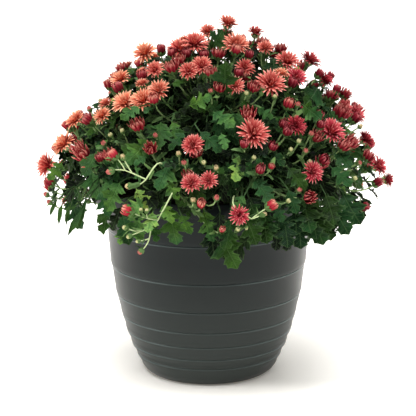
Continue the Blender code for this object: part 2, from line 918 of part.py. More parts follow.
def lay_far_blooms(room, stems, used, groups, draw):
    """Open blooms of the far side: single ones and touching pairs, evenly spread."""
    laid = 0
    for index in range(FAR_TRIES):
        if laid >= FAR_BLOOMS:
            break
        direction = spread_direction(index, 1.0, FAR_SPAN)
        if direction.y < FAR_SIDE:
            continue
        radius = draw.uniform(*FAR_DIAMETERS) / 2
        place = lowered_place(direction, radius * BLOOM_HEIGHT_SHARE)
        if place is None:
            continue
        bloom = {"place": place, "facing": bloom_facing(place, draw), "radius": radius}
        if not lay_drawn_bloom(room, stems, used, groups, bloom):
            continue
        laid += 1
        if draw.random() < FAR_COMPANION_SHARE:
            laid += lay_companion(room, stems, used, groups, bloom, draw)


def lay_companion(room, stems, used, groups, bloom, draw):
    """A smaller bloom beside another, touching it. Returns how many were laid."""
    for _ in range(COMPANION_TRIES):
        turn = draw.uniform(-math.pi, math.pi)
        first = square_to(bloom["facing"])
        aside = first * math.cos(turn) + bloom["facing"].cross(first) * math.sin(turn)
        beside = bloom["place"] + aside * (bloom["radius"] * COMPANION_DISTANCE)
        if not under_seen_top(beside, bloom["radius"] * BLOOM_HEIGHT_SHARE):
            continue
        facing = (bloom_facing(beside, draw) + bloom["facing"] * COMPANION_ACCORD).normalized()
        companion = {"place": beside, "facing": facing, "radius": bloom["radius"] * COMPANION_SIZE}
        if lay_drawn_bloom(room, stems, used, groups, companion):
            return 1
    return 0


def lay_small(room, stems, used, draw):
    """Half-open blooms and buds over the whole dome, and the pale spray that hangs at the near side."""
    small = []
    for aside_mm, high_mm in HANGING_SPRAY:
        place = seen_place(aside_mm, high_mm)
        facing = ((place - HEART).normalized() - UP * SPRAY_DROOP).normalized()
        lay_one_small(room, stems, used, place, facing, "bud", small)
    for kind, count in (("half_open", HALF_OPEN_COUNT), ("bud", BUD_COUNT)):
        goal = len(small) + count
        for _ in range(count * SMALL_TRIES):
            if len(small) == goal:
                break
            lean = math.acos(1 - SMALL_LEAN * draw.random())
            direction = heading_vector(lean, draw.uniform(-math.pi, math.pi))
            place = HEART + direction * (dome_radius(direction) * draw.uniform(*SMALL_REACHES))
            if under_seen_top(place, SMALL_HEIGHT):
                lay_one_small(room, stems, used, place, bloom_facing(place, draw), kind, small)
    return small


def lay_one_small(room, stems, used, place, facing, kind, small):
    """Takes room for one half-open bloom or bud with its stalk, where it fits."""
    stem = stem_of(stems, place)
    if kind == "half_open":
        end = place - facing * (HALF_OPEN_RADIUS * 0.5)
        if not room.free(half_open_shape(place, facing, MARGIN)):
            return
    else:
        end = place - facing * (BUD_LENGTH * 0.5)
        middle_line = [end, place, place + facing * (BUD_LENGTH * 0.5)]
        if not room.free(skin(middle_line, [BUD_RADIUS + MARGIN] * 3)):
            return
    path = lay_stalk(room, stem, used, end, facing)
    if path is None:
        return
    used[stem["name"]].append(path[0])
    stalk = {"stem": stem["name"], "path": path, "kind": kind, "facing": facing, "place": place}
    room.take(stalk_skin(stalk, MARGIN), stem["name"])
    if kind == "half_open":
        room.take(half_open_shape(place, facing, MARGIN), stem["name"])
    small.append(stalk)


def leaf_blade(out, length, draw):
    """A blade that faces out of the dome in a unit direction and tends to hang."""
    place = HEART + out * (dome_radius(out) * draw.uniform(*LEAF_REACHES))
    outward, upward, chance = LEAF_FACING
    normal = (out * outward + UP * upward + random_direction(draw) * chance).normalized()
    outward, downward, chance = LEAF_TIP
    wish = Vector((out.x, out.y, 0.0)) * outward - UP * downward + random_direction(draw) * chance
    axis = (wish - normal * wish.dot(normal)).normalized()
    base = place - axis * (LEAF_MIDDLE * length)
    return {"place": place, "base": base, "axis": axis, "normal": normal, "length": length}


def rooted_leaf(room, stems, used, blade):
    """The blade with a stalk from a stem, clear of all else, or None."""
    lines = blade_lines(blade)
    if not all(clear_of_pot(line) for line in lines):
        return None
    if not all(under_seen_top(point) for line in lines for point in line):
        return None
    if not room.free(blade_shape(blade, MARGIN)):
        return None
    direction = (blade["place"] - HEART).normalized()
    near = sorted(stems, key=lambda stem: -stem["direction"].dot(direction))
    for stem in near[:LEAF_STEMS]:
        roots = free_roots(stem, used, LEAF_ROOT_SPACING)
        roots.sort(key=lambda point: (point - blade["base"]).length)
        for root in roots[:LEAF_ROOTS]:
            leaf = {**blade, "root": root, "stem": stem["name"]}
            if not bends_gently(leaf) or not clear_of_pot([root, leaf["base"]]):
                continue
            if room.free(leaf_shape(leaf, MARGIN), ignore=(stem["name"], f"{stem['name']} tube")):
                return leaf
    return None


def lay_leaves(room, stems, used, leaves, count, spacing, draw):
    """Adds leaves over the whole dome, from its shoulders to the fringe that hangs over the rim."""
    for index in range(LEAF_TRIES):
        out = spread_direction(index, LEAF_TOP, LEAF_SPAN)
        for step in range(LEAF_POSES):
            if len(leaves) == count:
                return
            longest, shortest = LEAF_LENGTHS
            blade = leaf_blade(out, longest + (shortest - longest) * step / LEAF_POSES, draw)
            if any((blade["place"] - other["place"]).length < spacing for other in leaves):
                continue
            leaf = rooted_leaf(room, stems, used, blade)
            if leaf is not None:
                used[leaf["stem"]].append(leaf["root"])
                room.take(leaf_shape(leaf, MARGIN), leaf["stem"])
                leaves.append(leaf)
                break


def lay_out():
    """Places every stem, bloom, bud and leaf, each clear of what other stems carry."""
    draw = random.Random(SEED)
    room = Room()
    room.take(pot_block(), "pot")
    stems = make_stems()
    for stem in stems:
        radii = stem_radii(stem)
        room.take(skin(stem["path"], [radius + MARGIN for radius in radii]), f"{stem['name']} tube")
    used = {}
    groups = []
    leaves = []
    lay_near_blooms(room, stems, used, groups, draw)
    lay_leaves(room, stems, used, leaves, *LEAF_ROUNDS[0], draw)
    lay_far_blooms(room, stems, used, groups, draw)
    small = lay_small(room, stems, used, draw)
    lay_leaves(room, stems, used, leaves, *LEAF_ROUNDS[1], draw)
    return stems, groups, small, leaves


def stem_radii(stem):
    """Radius of a stem at each point of its path."""
    count = len(stem["path"]) - 1
    slimming = (STEM_TIP_RADIUS - STEM_FOOT_RADIUS) / count
    return [STEM_FOOT_RADIUS + slimming * index for index in range(count + 1)]


def section_curve(sides, collection):
    """A closed outline of that many sides and unit radius, which a stalk or stem is drawn out from."""
    curve = bpy.data.curves.new("section", "CURVE")
    spline = curve.splines.new("POLY")
    spline.points.add(sides - 1)
    spline.use_cyclic_u = True
    for index, point in enumerate(spline.points):
        angle = 2 * math.pi * index / sides
        point.co = (math.cos(angle), math.sin(angle), 0.0, 1.0)
    return new_object("section", curve, collection)


def tube(name, path, radii, sides, collection):
    """A tube with a few sides along a path, as a closed mesh."""
    section = section_curve(sides, collection)
    curve = bpy.data.curves.new(name, "CURVE")
    curve.dimensions = "3D"
    curve.bevel_mode = "OBJECT"
    curve.bevel_object = section
    curve.use_fill_caps = True
    spline = curve.splines.new("POLY")
    spline.points.add(len(path) - 1)
    for point, place, radius in zip(spline.points, path, radii):
        point.co = (*place, 1.0)
        point.radius = radius
    guide = new_object(name, curve, collection)
    graph = bpy.context.evaluated_depsgraph_get()
    mesh = bpy.data.meshes.new_from_object(guide.evaluated_get(graph))
    bpy.data.objects.remove(guide)
    bpy.data.objects.remove(section)
    bm = bmesh.new()
    bm.from_mesh(mesh)
    bpy.data.meshes.remove(mesh)
    bmesh.ops.remove_doubles(bm, verts=bm.verts, dist=0.00001)
    return new_object(name, mesh_from(bm, name), collection)


def shells(bm):
    """The faces of each closed skin of a shape."""
    unseen = set(bm.faces)
    found = []
    while unseen:
        waiting = [unseen.pop()]
        shell = []
        while waiting:
            face = waiting.pop()
            shell.append(face)
            beside = {other for edge in face.edges for other in edge.link_faces} & unseen
            unseen -= beside
            waiting.extend(beside)
        found.append(shell)
    return found


def fill_voids(made):
    """Fills the small voids that lie sealed between fused shapes: their skins face inwards."""
    bm = bmesh.new()
    bm.from_mesh(made.data)
    for shell in shells(bm):
        volume = sum(face.calc_center_median().dot(face.normal) * face.calc_area() for face in shell) / 3
        if volume < 0:
            bmesh.ops.delete(bm, geom=shell, context="FACES")
    bm.to_mesh(made.data)
    bm.free()


def fuse(name, shapes, parts, material_name):
    """Joins closed shapes into one solid by a union on a collection."""
    body = shapes[0]
    operands = new_collection(f"{name} repeats")
    for shape in shapes[1:]:
        for owner in list(shape.users_collection):
            owner.objects.unlink(shape)
        operands.objects.link(shape)
    if len(shapes) > 1:
        union = body.modifiers.new("join", "BOOLEAN")
        union.operation = "UNION"
        union.operand_type = "COLLECTION"
        union.collection = operands
        union.solver = "MANIFOLD"
        apply_modifiers(body)
        fill_voids(body)
    for shape in shapes[1:]:
        bpy.data.objects.remove(shape)
    bpy.data.collections.remove(operands)
    for owner in list(body.users_collection):
        owner.objects.unlink(body)
    parts.objects.link(body)
    body.name = name
    body.data.materials.clear()
    body.data.materials.append(material(material_name))
    return body


def make_leafy_stem(stem, groups, small, leaves, parts, workshop):
    """One stem with all that is green on it, and the small blooms that it carries."""
    shapes = [tube("stem", stem["path"], stem_radii(stem), 4, workshop)]
    stalks = [stalk for group in groups for stalk in group["stalks"]] + small
    for stalk in stalks:
        if stalk["stem"] != stem["name"]:
            continue
        path, radii = stalk_radii(stalk)
        shapes.append(tube("stalk", path, radii, 3, workshop))
        if stalk["kind"] == "half_open":
            cup = mesh_from(half_open_shape(stalk["place"], stalk["facing"]), "half open")
            shapes.append(new_object("half open", cup, workshop))
    for leaf in leaves:
        if leaf["stem"] == stem["name"]:
            shapes.append(new_object("leaf", mesh_from(leaf_shape(leaf), "leaf"), workshop))
    return fuse(stem["name"], shapes, parts, "leaf green")


def make_bloom_group(group, index, parts, workshop):
    """The petals of a bloom, or of blooms that touch, as one solid."""
    shapes = []
    for bloom in group["blooms"]:
        shapes.append(new_object("petals", mesh_from(bloom_shape(bloom), "petals"), workshop))
    colour = "crimson petals" if index % 3 == 2 else "coral petals"
    return fuse(group["name"], shapes, parts, colour)


def clear_scene():
    """Removes whatever the scene holds."""
    for found in list(bpy.data.objects):
        bpy.data.objects.remove(found)


def main():
    clear_scene()
    parts = new_collection("pot chrysanthemum")
    cutters = new_collection("cutters")
    workshop = new_collection("workshop")
    stems, groups, small, leaves = lay_out()
    make_pot(parts, cutters)
    make_soil(parts, cutters, stems)
    for stem in stems:
        make_leafy_stem(stem, groups, small, leaves, parts, workshop)
    for index, group in enumerate(groups):
        make_bloom_group(group, index, parts, workshop)
    bpy.data.collections.remove(workshop)


main()
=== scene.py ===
import math
import random

import bmesh
import bpy
import numpy as np
from bpy.props import FloatProperty, FloatVectorProperty, IntProperty, PointerProperty
from mathutils import Euler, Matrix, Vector, noise
from mathutils.bvhtree import BVHTree


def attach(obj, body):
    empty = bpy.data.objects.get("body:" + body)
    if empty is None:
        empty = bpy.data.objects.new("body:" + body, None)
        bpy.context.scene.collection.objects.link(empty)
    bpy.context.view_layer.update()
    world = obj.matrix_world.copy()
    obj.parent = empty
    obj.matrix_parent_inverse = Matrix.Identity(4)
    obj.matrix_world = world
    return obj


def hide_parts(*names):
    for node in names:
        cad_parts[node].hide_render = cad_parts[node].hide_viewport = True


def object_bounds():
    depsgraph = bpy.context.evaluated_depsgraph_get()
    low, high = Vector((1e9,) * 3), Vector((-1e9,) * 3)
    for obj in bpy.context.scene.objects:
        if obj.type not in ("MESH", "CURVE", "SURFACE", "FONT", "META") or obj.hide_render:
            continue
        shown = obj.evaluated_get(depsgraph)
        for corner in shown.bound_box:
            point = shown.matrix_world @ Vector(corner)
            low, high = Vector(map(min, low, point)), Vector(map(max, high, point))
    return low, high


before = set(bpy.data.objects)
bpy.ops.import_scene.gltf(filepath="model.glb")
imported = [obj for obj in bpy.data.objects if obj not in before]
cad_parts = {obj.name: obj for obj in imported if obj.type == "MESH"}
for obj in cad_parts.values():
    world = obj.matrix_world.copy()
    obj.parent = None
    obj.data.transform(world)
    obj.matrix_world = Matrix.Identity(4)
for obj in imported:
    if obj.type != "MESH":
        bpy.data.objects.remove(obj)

bl_info = {
    "name": "Pot chrysanthemum",
    "version": (1, 0, 0),
    "blender": (4, 5, 0),
    "location": "3D View > Sidebar > Chrysanthemum",
    "description": "Petals, leaves, buds and pot for a packed pot chrysanthemum",
    "category": "Object",
}

CAD_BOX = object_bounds()


def linear(code):
    """Linear colour of an sRGB hex code."""
    shares = [int(code[place : place + 2], 16) / 255 for place in (0, 2, 4)]
    return tuple(share / 12.92 if share <= 0.04045 else ((share + 0.055) / 1.055) ** 2.4 for share in shares)


# Layout of the plant, by the same rule as in the part's source, so that each piece stands by its solid

UP = Vector((0.0, 0.0, 1.0))
GAP = 0.0003
SEED = 11

# Steps of an even two-way spread, in shares of its two ranges: powers of the plastic ratio
EVEN_STEPS = (0.7548776662, 0.5698402910)

# Pot: a 305 mm ringed pot, read as the radius and height of its turned outline
RIM_RADIUS = 0.1525
RIM_TOP = 0.252
RIM_BOTTOM = 0.234
RIM_WALL = 0.003
RIM_ROUND = 0.0015
BODY_TOP_RADIUS = 0.132
TIER_EDGES = (
    (0.1285, 0.1935), (0.1235, 0.144), (0.118, 0.1065), (0.1115, 0.0785), (0.106, 0.058), (0.0995, 0.040),
    (0.093, 0.026),
)
TIER_ROUND_HEIGHT = 0.007
TIER_ROUND_SHARE = 0.35
TIER_OVERHANG = 0.0028
FOOT_OUTLINE = (
    (0.0905, 0.0172), (0.088, 0.0105), (0.0847, 0.0058), (0.080, 0.0022), (0.0765, 0.0004), (0.0745, 0.0),
    (0.0, 0.0),
)

# Underside of the rim, as distances from its radius and its bottom, and the proud edge over a tier, as shares
# of the lip and drops from the tier's top
RIM_FOOT = ((0.0, 0.0012), (-0.0004, 0.0003), (-0.0014, 0.0))
RIM_INNER_ROUND = 0.001
PROUD_EDGE = ((0.65, 0.0001), (0.90, 0.0009), (1.0, 0.0017), (0.85, 0.0026), (0.5, 0.0042))
TIER_SET_BACK = 0.0012
TIER_STEP = 0.0001
ROUND_STEPS = 6
RIDGE_REACH = 0.00004

# Floor and inside of the pot, and its drain holes
FLOOR = 0.004
INSIDE_OUTLINE = (
    (0.0715, FLOOR), (0.087, 0.018), (0.0955, 0.040), (0.1085, 0.080), (0.1195, 0.144), (0.1245, 0.1935),
    (0.129, 0.237),
)
POT_SEGMENTS = 24
DRAIN_HOLES = 4
DRAIN_RADIUS = 0.0045
DRAIN_RING = 0.045
DRAIN_SIDES = 24

# Soil: fills the pot to a little under its rim, with a low crumbly crown
SOIL_EDGE = 0.222
SOIL_CROWN = 0.008
SOIL_RINGS = (0.096, 0.048)
SOIL_CLEARANCE = 0.0005
SOIL_STEPS = 22
SOIL_FACES = 96

# Bumps of the soil: height and how many to a metre. Loose crumbs: rows of their shape, how far out they lie,
# and their least size with what chance may add.
SOIL_BUMPS = ((0.0035, 90), (0.0018, 260))
CRUMB_ROWS = ((-0.7, 0.45, 0.5), (-0.2, 1.0, 0.9), (0.3, 0.85, 1.0), (0.7, 0.4, 0.35))
CRUMB_REACH = 0.95
CRUMB_SIZES = (0.0012, 0.0028)
CRUMB_LIFT = 0.3
CRUMB_TURN = 6.28
BUMPS_WITHIN = 0.97
BUMPS_BELOW = 0.001

# How deep the foot of a stem stands in the soil
STEM_DEPTH = 0.028

# Dome of the plant: how far blooms and leaves reach from the heart of the plant
HEART = Vector((0.006, 0.0, 0.245))
DOME_SPREAD = 0.212
DOME_RISE = 0.205
DOME_DROP = 0.085
DOME_POWER = 1.6

# Stems: how many in each ring, their lean from upright, first heading and distance of the foot from the axis
STEM_RINGS = (
    (1, math.radians(5), math.radians(80), 0.004),
    (5, math.radians(37), math.radians(54), 0.030),
    (9, math.radians(75), math.radians(10), 0.064),
)
STEM_REACH = 0.72
STEM_WAVER = 0.06
STEM_WAVER_TURN = math.radians(137.5)
STEM_KNEE_SPREAD = 1.15
STEM_KNEE_RISE = 0.75
STEM_KNEE_LIFT = 0.012
STEM_STEPS = 4
STEM_FOOT_RADIUS = 0.0030
STEM_TIP_RADIUS = 0.0018
STEM_RISE_ABOVE_SOIL = 0.008

# Stalks and what they carry, and the shares of a stem's length that they may start from
STALK_RADIUS = 0.0013
STALK_ROOT_SHARE = 0.8
STALK_KNEE_SHARE = 0.35
ROOT_SPACING = 0.0033
ROOT_SHARES = [0.28 + 0.01 * step for step in range(73)]
CALYX_RADIUS = 0.0055
CALYX_HEIGHT = 0.0045
BUD_RADIUS = 0.0036
BUD_LENGTH = 0.0075
BUD_NECK_SHARE = 0.4
BUD_TIP_SHARE = 0.35
HALF_OPEN_RADIUS = 0.0068

# Petals of a bloom in shares of its radius. Each layer has the reach of its tips, the reach of its gaps
# and the heights of both. Between two layers lies a valley with its reach and height.
LARGE_BLOOM_RADIUS = 0.0175
LARGE_BLOOM = {
    "petals": 9,
    "layers": ((1.0, 0.58, 0.16, 0.06), (0.80, 0.46, 0.46, 0.26), (0.46, 0.26, 0.66, 0.46)),
    "valleys": ((0.38, 0.18), (0.22, 0.36)),
    "top": 0.40,
    "root": -0.34,
}
SMALL_BLOOM = {
    "petals": 8,
    "layers": ((1.0, 0.60, 0.30, 0.14), (0.64, 0.38, 0.62, 0.42)),
    "valleys": ((0.32, 0.24),),
    "top": 0.34,
    "root": -0.34,
}
HALF_OPEN_BLOOM = {
    "petals": 5,
    "layers": ((1.0, 0.80, 1.05, 0.70),),
    "valleys": (),
    "top": 0.55,
    "root": -0.75,
}

# Facing of a bloom: shares of the way out of the dome, of upright and of chance
FACING_OUT = 0.8
FACING_UP = 0.35
FACING_CHANCE = 0.22

# Places of the open blooms that face the viewer: how far each stands to the right of the axis, how high, and
# its diameter, in millimetres. The places are read in the upright plane through the pot's axis, as they show
# from the reading point.
READING_POINT = Vector((0.0, -2.33, 0.752))
SIGHT_START = 0.86
SIGHT_STEP = 0.001
SIGHT_STEPS = 240
NEAR_BLOOMS = (
    (27, 452, 28), (37, 425, 34), (-15, 427, 34), (-38, 418, 32), (2, 442, 24), (-78, 415, 32),
    (62, 440, 24), (74, 420, 22), (102, 403, 32), (131, 404, 32), (113, 382, 28), (81, 374, 38),
    (48, 395, 24), (36, 372, 24), (-62, 367, 28), (-86, 352, 32), (-114, 350, 32), (-66, 393, 24),
    (-168, 330, 28), (-184, 299, 34), (-206, 271, 38), (-19, 296, 26), (59, 310, 38), (113, 320, 26),
    (159, 312, 36), (176, 342, 26), (197, 329, 30), (202, 302, 28), (135, 259, 27), (219, 266, 28),
    (231, 248, 22), (-21, 246, 25), (6, 250, 22), (40, 203, 23), (-6, 398, 26), (-32, 388, 24),
    (-134, 335, 24), (-110, 382, 26), (150, 378, 26),
)

# Upper outline of the plant, read in the same plane: how far to the right of the axis and how high. What
# stands by the rule alone stays under it.
SEEN_TOP = (
    (-222, 262), (-204, 288), (-179, 328), (-154, 347), (-141, 350), (-129, 372), (-116, 393), (-91, 418),
    (-66, 424), (-46, 424), (-34, 437), (-15, 442), (10, 448), (23, 459), (35, 457), (60, 447), (73, 431),
    (98, 418), (111, 410), (136, 412), (149, 390), (174, 366), (186, 344), (199, 338), (212, 292),
    (240, 262),
)

# Where a near bloom doesn't fit, it is tried nearer or deeper along the line of sight, and then smaller
NEAR_TRIES = (
    (0.0, 1.0), (0.0, 1.0), (-0.004, 1.0), (0.004, 1.0), (-0.008, 1.0), (0.008, 0.95), (-0.012, 0.95),
    (0.0, 0.90), (-0.016, 0.90), (0.014, 0.90), (-0.020, 0.85), (0.0, 0.80),
)

# Open blooms of the far side, spread by a rule, some with a companion that touches them
BLOOM_GROUPS = 43
GROUP_SIZE = 3
FAR_BLOOMS = 16
FAR_TRIES = 600
FAR_SPAN = 1.12
FAR_SIDE = 0.12
FAR_DIAMETERS = (0.025, 0.033)
FAR_COMPANION_SHARE = 0.55
LOWER_STEPS = 6
LOWER_SHARE = 0.03
BLOOM_HEIGHT_SHARE = 0.8
SMALL_HEIGHT = 0.007
COMPANION_TRIES = 6
COMPANION_DISTANCE = 1.68
COMPANION_SIZE = 0.88

# Blooms of one group cross each other in at least this many faces, and face alike
TOUCHING_FACES = 6
COMPANION_ACCORD = 3.0
GROUP_REACH = 1.25
DRAW_STEPS = 12
DRAW_SHARE = 0.03

# Half-open blooms and buds, and the places of the pale spray that hangs over the rim at the near side
HALF_OPEN_COUNT = 17
BUD_COUNT = 12
SMALL_TRIES = 14
SMALL_LEAN = 1.15
SMALL_REACHES = (0.96, 1.05)
HANGING_SPRAY = ((-100, 212), (-110, 196), (-108, 178), (-90, 168), (-92, 152), (-122, 230))
SPRAY_DROOP = 0.4

# Leaves: two rounds, each with the count of leaves reached at its end and the spacing between leaf middles
LEAF_ROUNDS = ((64, 0.030), (94, 0.018))
LEAF_TRIES = 600
LEAF_TOP = 0.93
LEAF_SPAN = 1.30
LEAF_POSES = 20
LEAF_REACHES = (0.74, 0.97)
LEAF_LENGTHS = (0.058, 0.036)
LEAF_STEMS = 3
LEAF_ROOTS = 4
LEAF_ROOT_SPACING = 0.0024
LEAF_MIDDLE = 0.45

# Facing of a leaf: shares of the way out of the dome, of upright and of chance. Its tip: shares of the level
# way out, of straight down and of chance.
LEAF_FACING = (0.8, 0.5, 0.4)
LEAF_TIP = (0.5, 0.7, 0.8)
LEAF_LEAST_TURN = 0.5
LEAF_LEAST_ACCORD = -0.5
LEAF_RIB_DEPTH = 0.0018
LEAF_OUTLINE = ((0.00, 0.04), (0.24, 0.32), (0.36, 0.15), (0.60, 0.36), (0.72, 0.17), (1.00, 0.06))
LEAF_STALK_HALF_WIDTH = 0.0012
LEAF_STALK_SHORTEST = 0.008
LEAF_BEND = 0.22

# Clearances kept between pieces while they are laid out
MARGIN = 0.0004
POT_CLEARANCE = 0.003
PATH_CHECKS = 6


def clamped(share):
    """A share kept between 0 and 1."""
    return min(max(share, 0.0), 1.0)


def soil_height(radius):
    """Height of the smooth soil surface at that distance from the axis."""
    return SOIL_EDGE + SOIL_CROWN * (1 - (radius / SOIL_RINGS[0]) ** 2)


def inside_radius(height):
    """Radius of the pot's inside at that height."""
    for (low_radius, low), (high_radius, high) in zip(INSIDE_OUTLINE, INSIDE_OUTLINE[1:]):
        if low <= height <= high:
            return low_radius + (high_radius - low_radius) * (height - low) / (high - low)
    return INSIDE_OUTLINE[-1][0]


def heading_vector(lean, heading):
    """Unit vector that leans from upright towards a heading round the axis."""
    sideways = math.sin(lean)
    return Vector((sideways * math.cos(heading), sideways * math.sin(heading), math.cos(lean)))


def dome_radius(direction):
    """Reach of the dome from its heart in a unit direction."""
    side = math.hypot(direction.x, direction.y) / DOME_SPREAD
    rising = direction.z > 0
    rise = abs(direction.z) / (DOME_RISE if rising else DOME_DROP)
    power = DOME_POWER if rising else 2.0
    return (side**power + rise**power) ** (-1 / power)


def line_of_sight(aside_mm, high_mm):
    """The way from the reading point to a place of the upright plane, in millimetres."""
    return Vector((aside_mm / 1000, 0.0, high_mm / 1000)) - READING_POINT


def seen_place(aside_mm, high_mm):
    """Point of the dome's near side that shows at that place of the upright plane."""
    line = line_of_sight(aside_mm, high_mm)
    best = None
    for step in range(SIGHT_STEPS):
        point = READING_POINT + line * (SIGHT_START + step * SIGHT_STEP)
        offset = point - HEART
        outside = offset.length - dome_radius(offset.normalized())
        if outside < 0:
            return point
        if best is None or outside < best[0]:
            best = (outside, point)
    return best[1]


def under_seen_top(point, height=0.0):
    """True when a thing of that height at a point doesn't show over the upper outline."""
    line = point - READING_POINT
    shown = READING_POINT - line * (READING_POINT.y / line.y)
    aside = shown.x * 1000
    for (left, left_top), (right, right_top) in zip(SEEN_TOP, SEEN_TOP[1:]):
        if left <= aside <= right:
            top = left_top + (right_top - left_top) * (aside - left) / (right - left)
            return (shown.z + height) * 1000 < top
    return False


def seen_at_depth(aside_mm, high_mm, depth):
    """Point that shows at that place of the upright plane and lies as deep as given along Y."""
    line = line_of_sight(aside_mm, high_mm)
    return READING_POINT + line * ((depth - READING_POINT.y) / line.y)


def spread_direction(index, top, span):
    """Unit vector of that number in an even spread, whose rise runs from the top down over the span."""
    rise = top - span * ((0.5 + index * EVEN_STEPS[0]) % 1.0)
    return heading_vector(math.acos(rise), 2 * math.pi * index * EVEN_STEPS[1])


def random_direction(draw):
    """Unit vector with an even spread."""
    rise = draw.uniform(-1, 1)
    return heading_vector(math.acos(rise), draw.uniform(-math.pi, math.pi))


def make_stem(number, lean, heading, foot_distance):
    """A stem that rises out of the soil and leans out to its place under the dome."""
    direction = heading_vector(lean, heading)
    foot = Vector((math.cos(heading), math.sin(heading), 0.0)) * foot_distance
    foot.z = soil_height(foot_distance) - STEM_DEPTH
    clear = foot + UP * (STEM_DEPTH + STEM_RISE_ABOVE_SOIL)
    tip = HEART + direction * dome_radius(direction) * STEM_REACH
    rise = STEM_KNEE_RISE * (tip.z - clear.z) + STEM_KNEE_LIFT
    knee = Vector((foot.x * STEM_KNEE_SPREAD, foot.y * STEM_KNEE_SPREAD, clear.z + rise))
    path = [foot, clear]
    for step in range(1, STEM_STEPS + 1):
        t = step / STEM_STEPS
        path.append(clear * (1 - t) ** 2 + knee * (2 * t * (1 - t)) + tip * t**2)
    return {"name": f"leafy_stem_{number:02d}", "direction": direction, "path": path}


def make_stems():
    """All stems, ring by ring from the middle."""
    stems = []
    for count, lean, first, foot_distance in STEM_RINGS:
        for index in range(count):
            heading = first + 2 * math.pi * index / count
            tilt = lean * (1 + STEM_WAVER * math.sin(STEM_WAVER_TURN * index))
            stems.append(make_stem(len(stems) + 1, tilt, heading, foot_distance))
    return stems


def stem_point(stem, share):
    """Point at a share of the stem's free length."""
    path = stem["path"][1:]
    place = share * (len(path) - 1)
    index = min(int(place), len(path) - 2)
    return path[index].lerp(path[index + 1], place - index)


def stem_of(stems, point):
    """The stem whose heading is nearest to a point's."""
    direction = (point - HEART).normalized()
    return max(stems, key=lambda stem: stem["direction"].dot(direction))


def rosette(kind, radius):
    """A closed flower shape that faces +Z: layers of petals, each half a petal on from the last."""
    petals = kind["petals"]
    last = 2 * len(kind["layers"])
    bm = bmesh.new()
    bmesh.ops.create_uvsphere(bm, u_segments=2 * petals, v_segments=last, radius=1.0)
    for vertex in bm.verts:
        polar = math.acos(max(-1.0, min(1.0, -vertex.co.z)))
        level = round(polar / math.pi * last)
        place = round(math.atan2(vertex.co.y, vertex.co.x) * petals / math.pi)
        if level in (0, last):
            reach, height = 0.0, kind["top"] if level else kind["root"]
        elif level % 2:
            tip, gap, tip_height, gap_height = kind["layers"][level // 2]
            at_tip = (place + level // 2) % 2 == 0
            reach, height = (tip, tip_height) if at_tip else (gap, gap_height)
        else:
            place -= place % 2
            reach, height = kind["valleys"][level // 2 - 1]
        angle = place * math.pi / petals
        vertex.co = Vector((reach * math.cos(angle), reach * math.sin(angle), height)) * radius
    bmesh.ops.remove_doubles(bm, verts=bm.verts, dist=0.000001)
    return bm


def stand(bm, place, facing):
    """Turns a shape that faces +Z to a facing and moves it to its place."""
    bmesh.ops.rotate(bm, verts=bm.verts, cent=(0, 0, 0), matrix=UP.rotation_difference(facing).to_matrix())
    bmesh.ops.translate(bm, verts=bm.verts, vec=place)
    return bm


def bloom_shape(bloom, margin=0.0):
    """An open bloom: two layers of pointed petals, or three when it is large."""
    kind = LARGE_BLOOM if bloom["radius"] >= LARGE_BLOOM_RADIUS else SMALL_BLOOM
    return stand(rosette(kind, bloom["radius"] + margin), bloom["place"], bloom["facing"])


def half_open_shape(place, facing):
    """The room that a half-open bloom takes: one upright cup of petals."""
    return stand(rosette(HALF_OPEN_BLOOM, HALF_OPEN_RADIUS + MARGIN), place, facing)


def square_to(direction):
    """A unit vector square to a direction."""
    other = UP if abs(direction.z) < 0.9 else Vector((1.0, 0.0, 0.0))
    return direction.cross(other).normalized()


def skin(path, radii):
    """Closed four-sided skin round a path, used to lay stalks clear of each other."""
    sections = []
    for index, (point, radius) in enumerate(zip(path, radii)):
        before = path[max(index - 1, 0)]
        after = path[min(index + 1, len(path) - 1)]
        along = (after - before).normalized()
        side = square_to(along) * radius
        other = along.cross(side)
        sections.append([point + side, point + other, point - side, point - other])
    return loft(sections)


def loft(sections):
    """Closed shape through sections of as many points each."""
    bm = bmesh.new()
    rings = [[bm.verts.new(point) for point in section] for section in sections]
    for near, far in zip(rings, rings[1:]):
        for i, corner in enumerate(near):
            j = (i + 1) % len(near)
            bm.faces.new((corner, near[j], far[j], far[i]))
    bm.faces.new(rings[0][::-1])
    bm.faces.new(rings[-1])
    return bm


def blade_rows(leaf):
    """Middle point, half width and upward direction of each row across a leaf's blade."""
    length = leaf["length"]
    rows = []
    for share, width in LEAF_OUTLINE:
        droop = LEAF_BEND * length * share**2
        middle = leaf["base"] + leaf["axis"] * (length * share) - leaf["normal"] * droop
        tilt = (leaf["normal"] + leaf["axis"] * (2 * LEAF_BEND * share)).normalized()
        rows.append((middle, width * length, tilt))
    return rows


def leaf_side(leaf):
    """Unit vector across a leaf."""
    return leaf["normal"].cross(leaf["axis"]).normalized()


def blade_lines(leaf):
    """The middle line and both edges of a leaf's blade."""
    side = leaf_side(leaf)
    rows = blade_rows(leaf)
    return [[middle + side * (width * edge) for middle, width, _ in rows] for edge in (-1, 0, 1)]


def blade_points(leaf):
    """All points of the middle line and the edges of a leaf's blade."""
    return [point for line in blade_lines(leaf) for point in line]


def blade_fits(leaf):
    """True when a leaf's blade clears the pot and stays under the upper outline."""
    return all(map(clear_of_pot, blade_lines(leaf))) and all(map(under_seen_top, blade_points(leaf)))


def bends_gently(leaf):
    """True when a leaf's blade doesn't fold back on its stalk."""
    stalk = leaf["base"] - leaf["root"]
    upright = stalk.cross(leaf_side(leaf))
    if stalk.length < LEAF_STALK_SHORTEST or upright.length < LEAF_LEAST_TURN * stalk.length:
        return False
    return stalk.normalized().dot(leaf["axis"]) > LEAF_LEAST_ACCORD


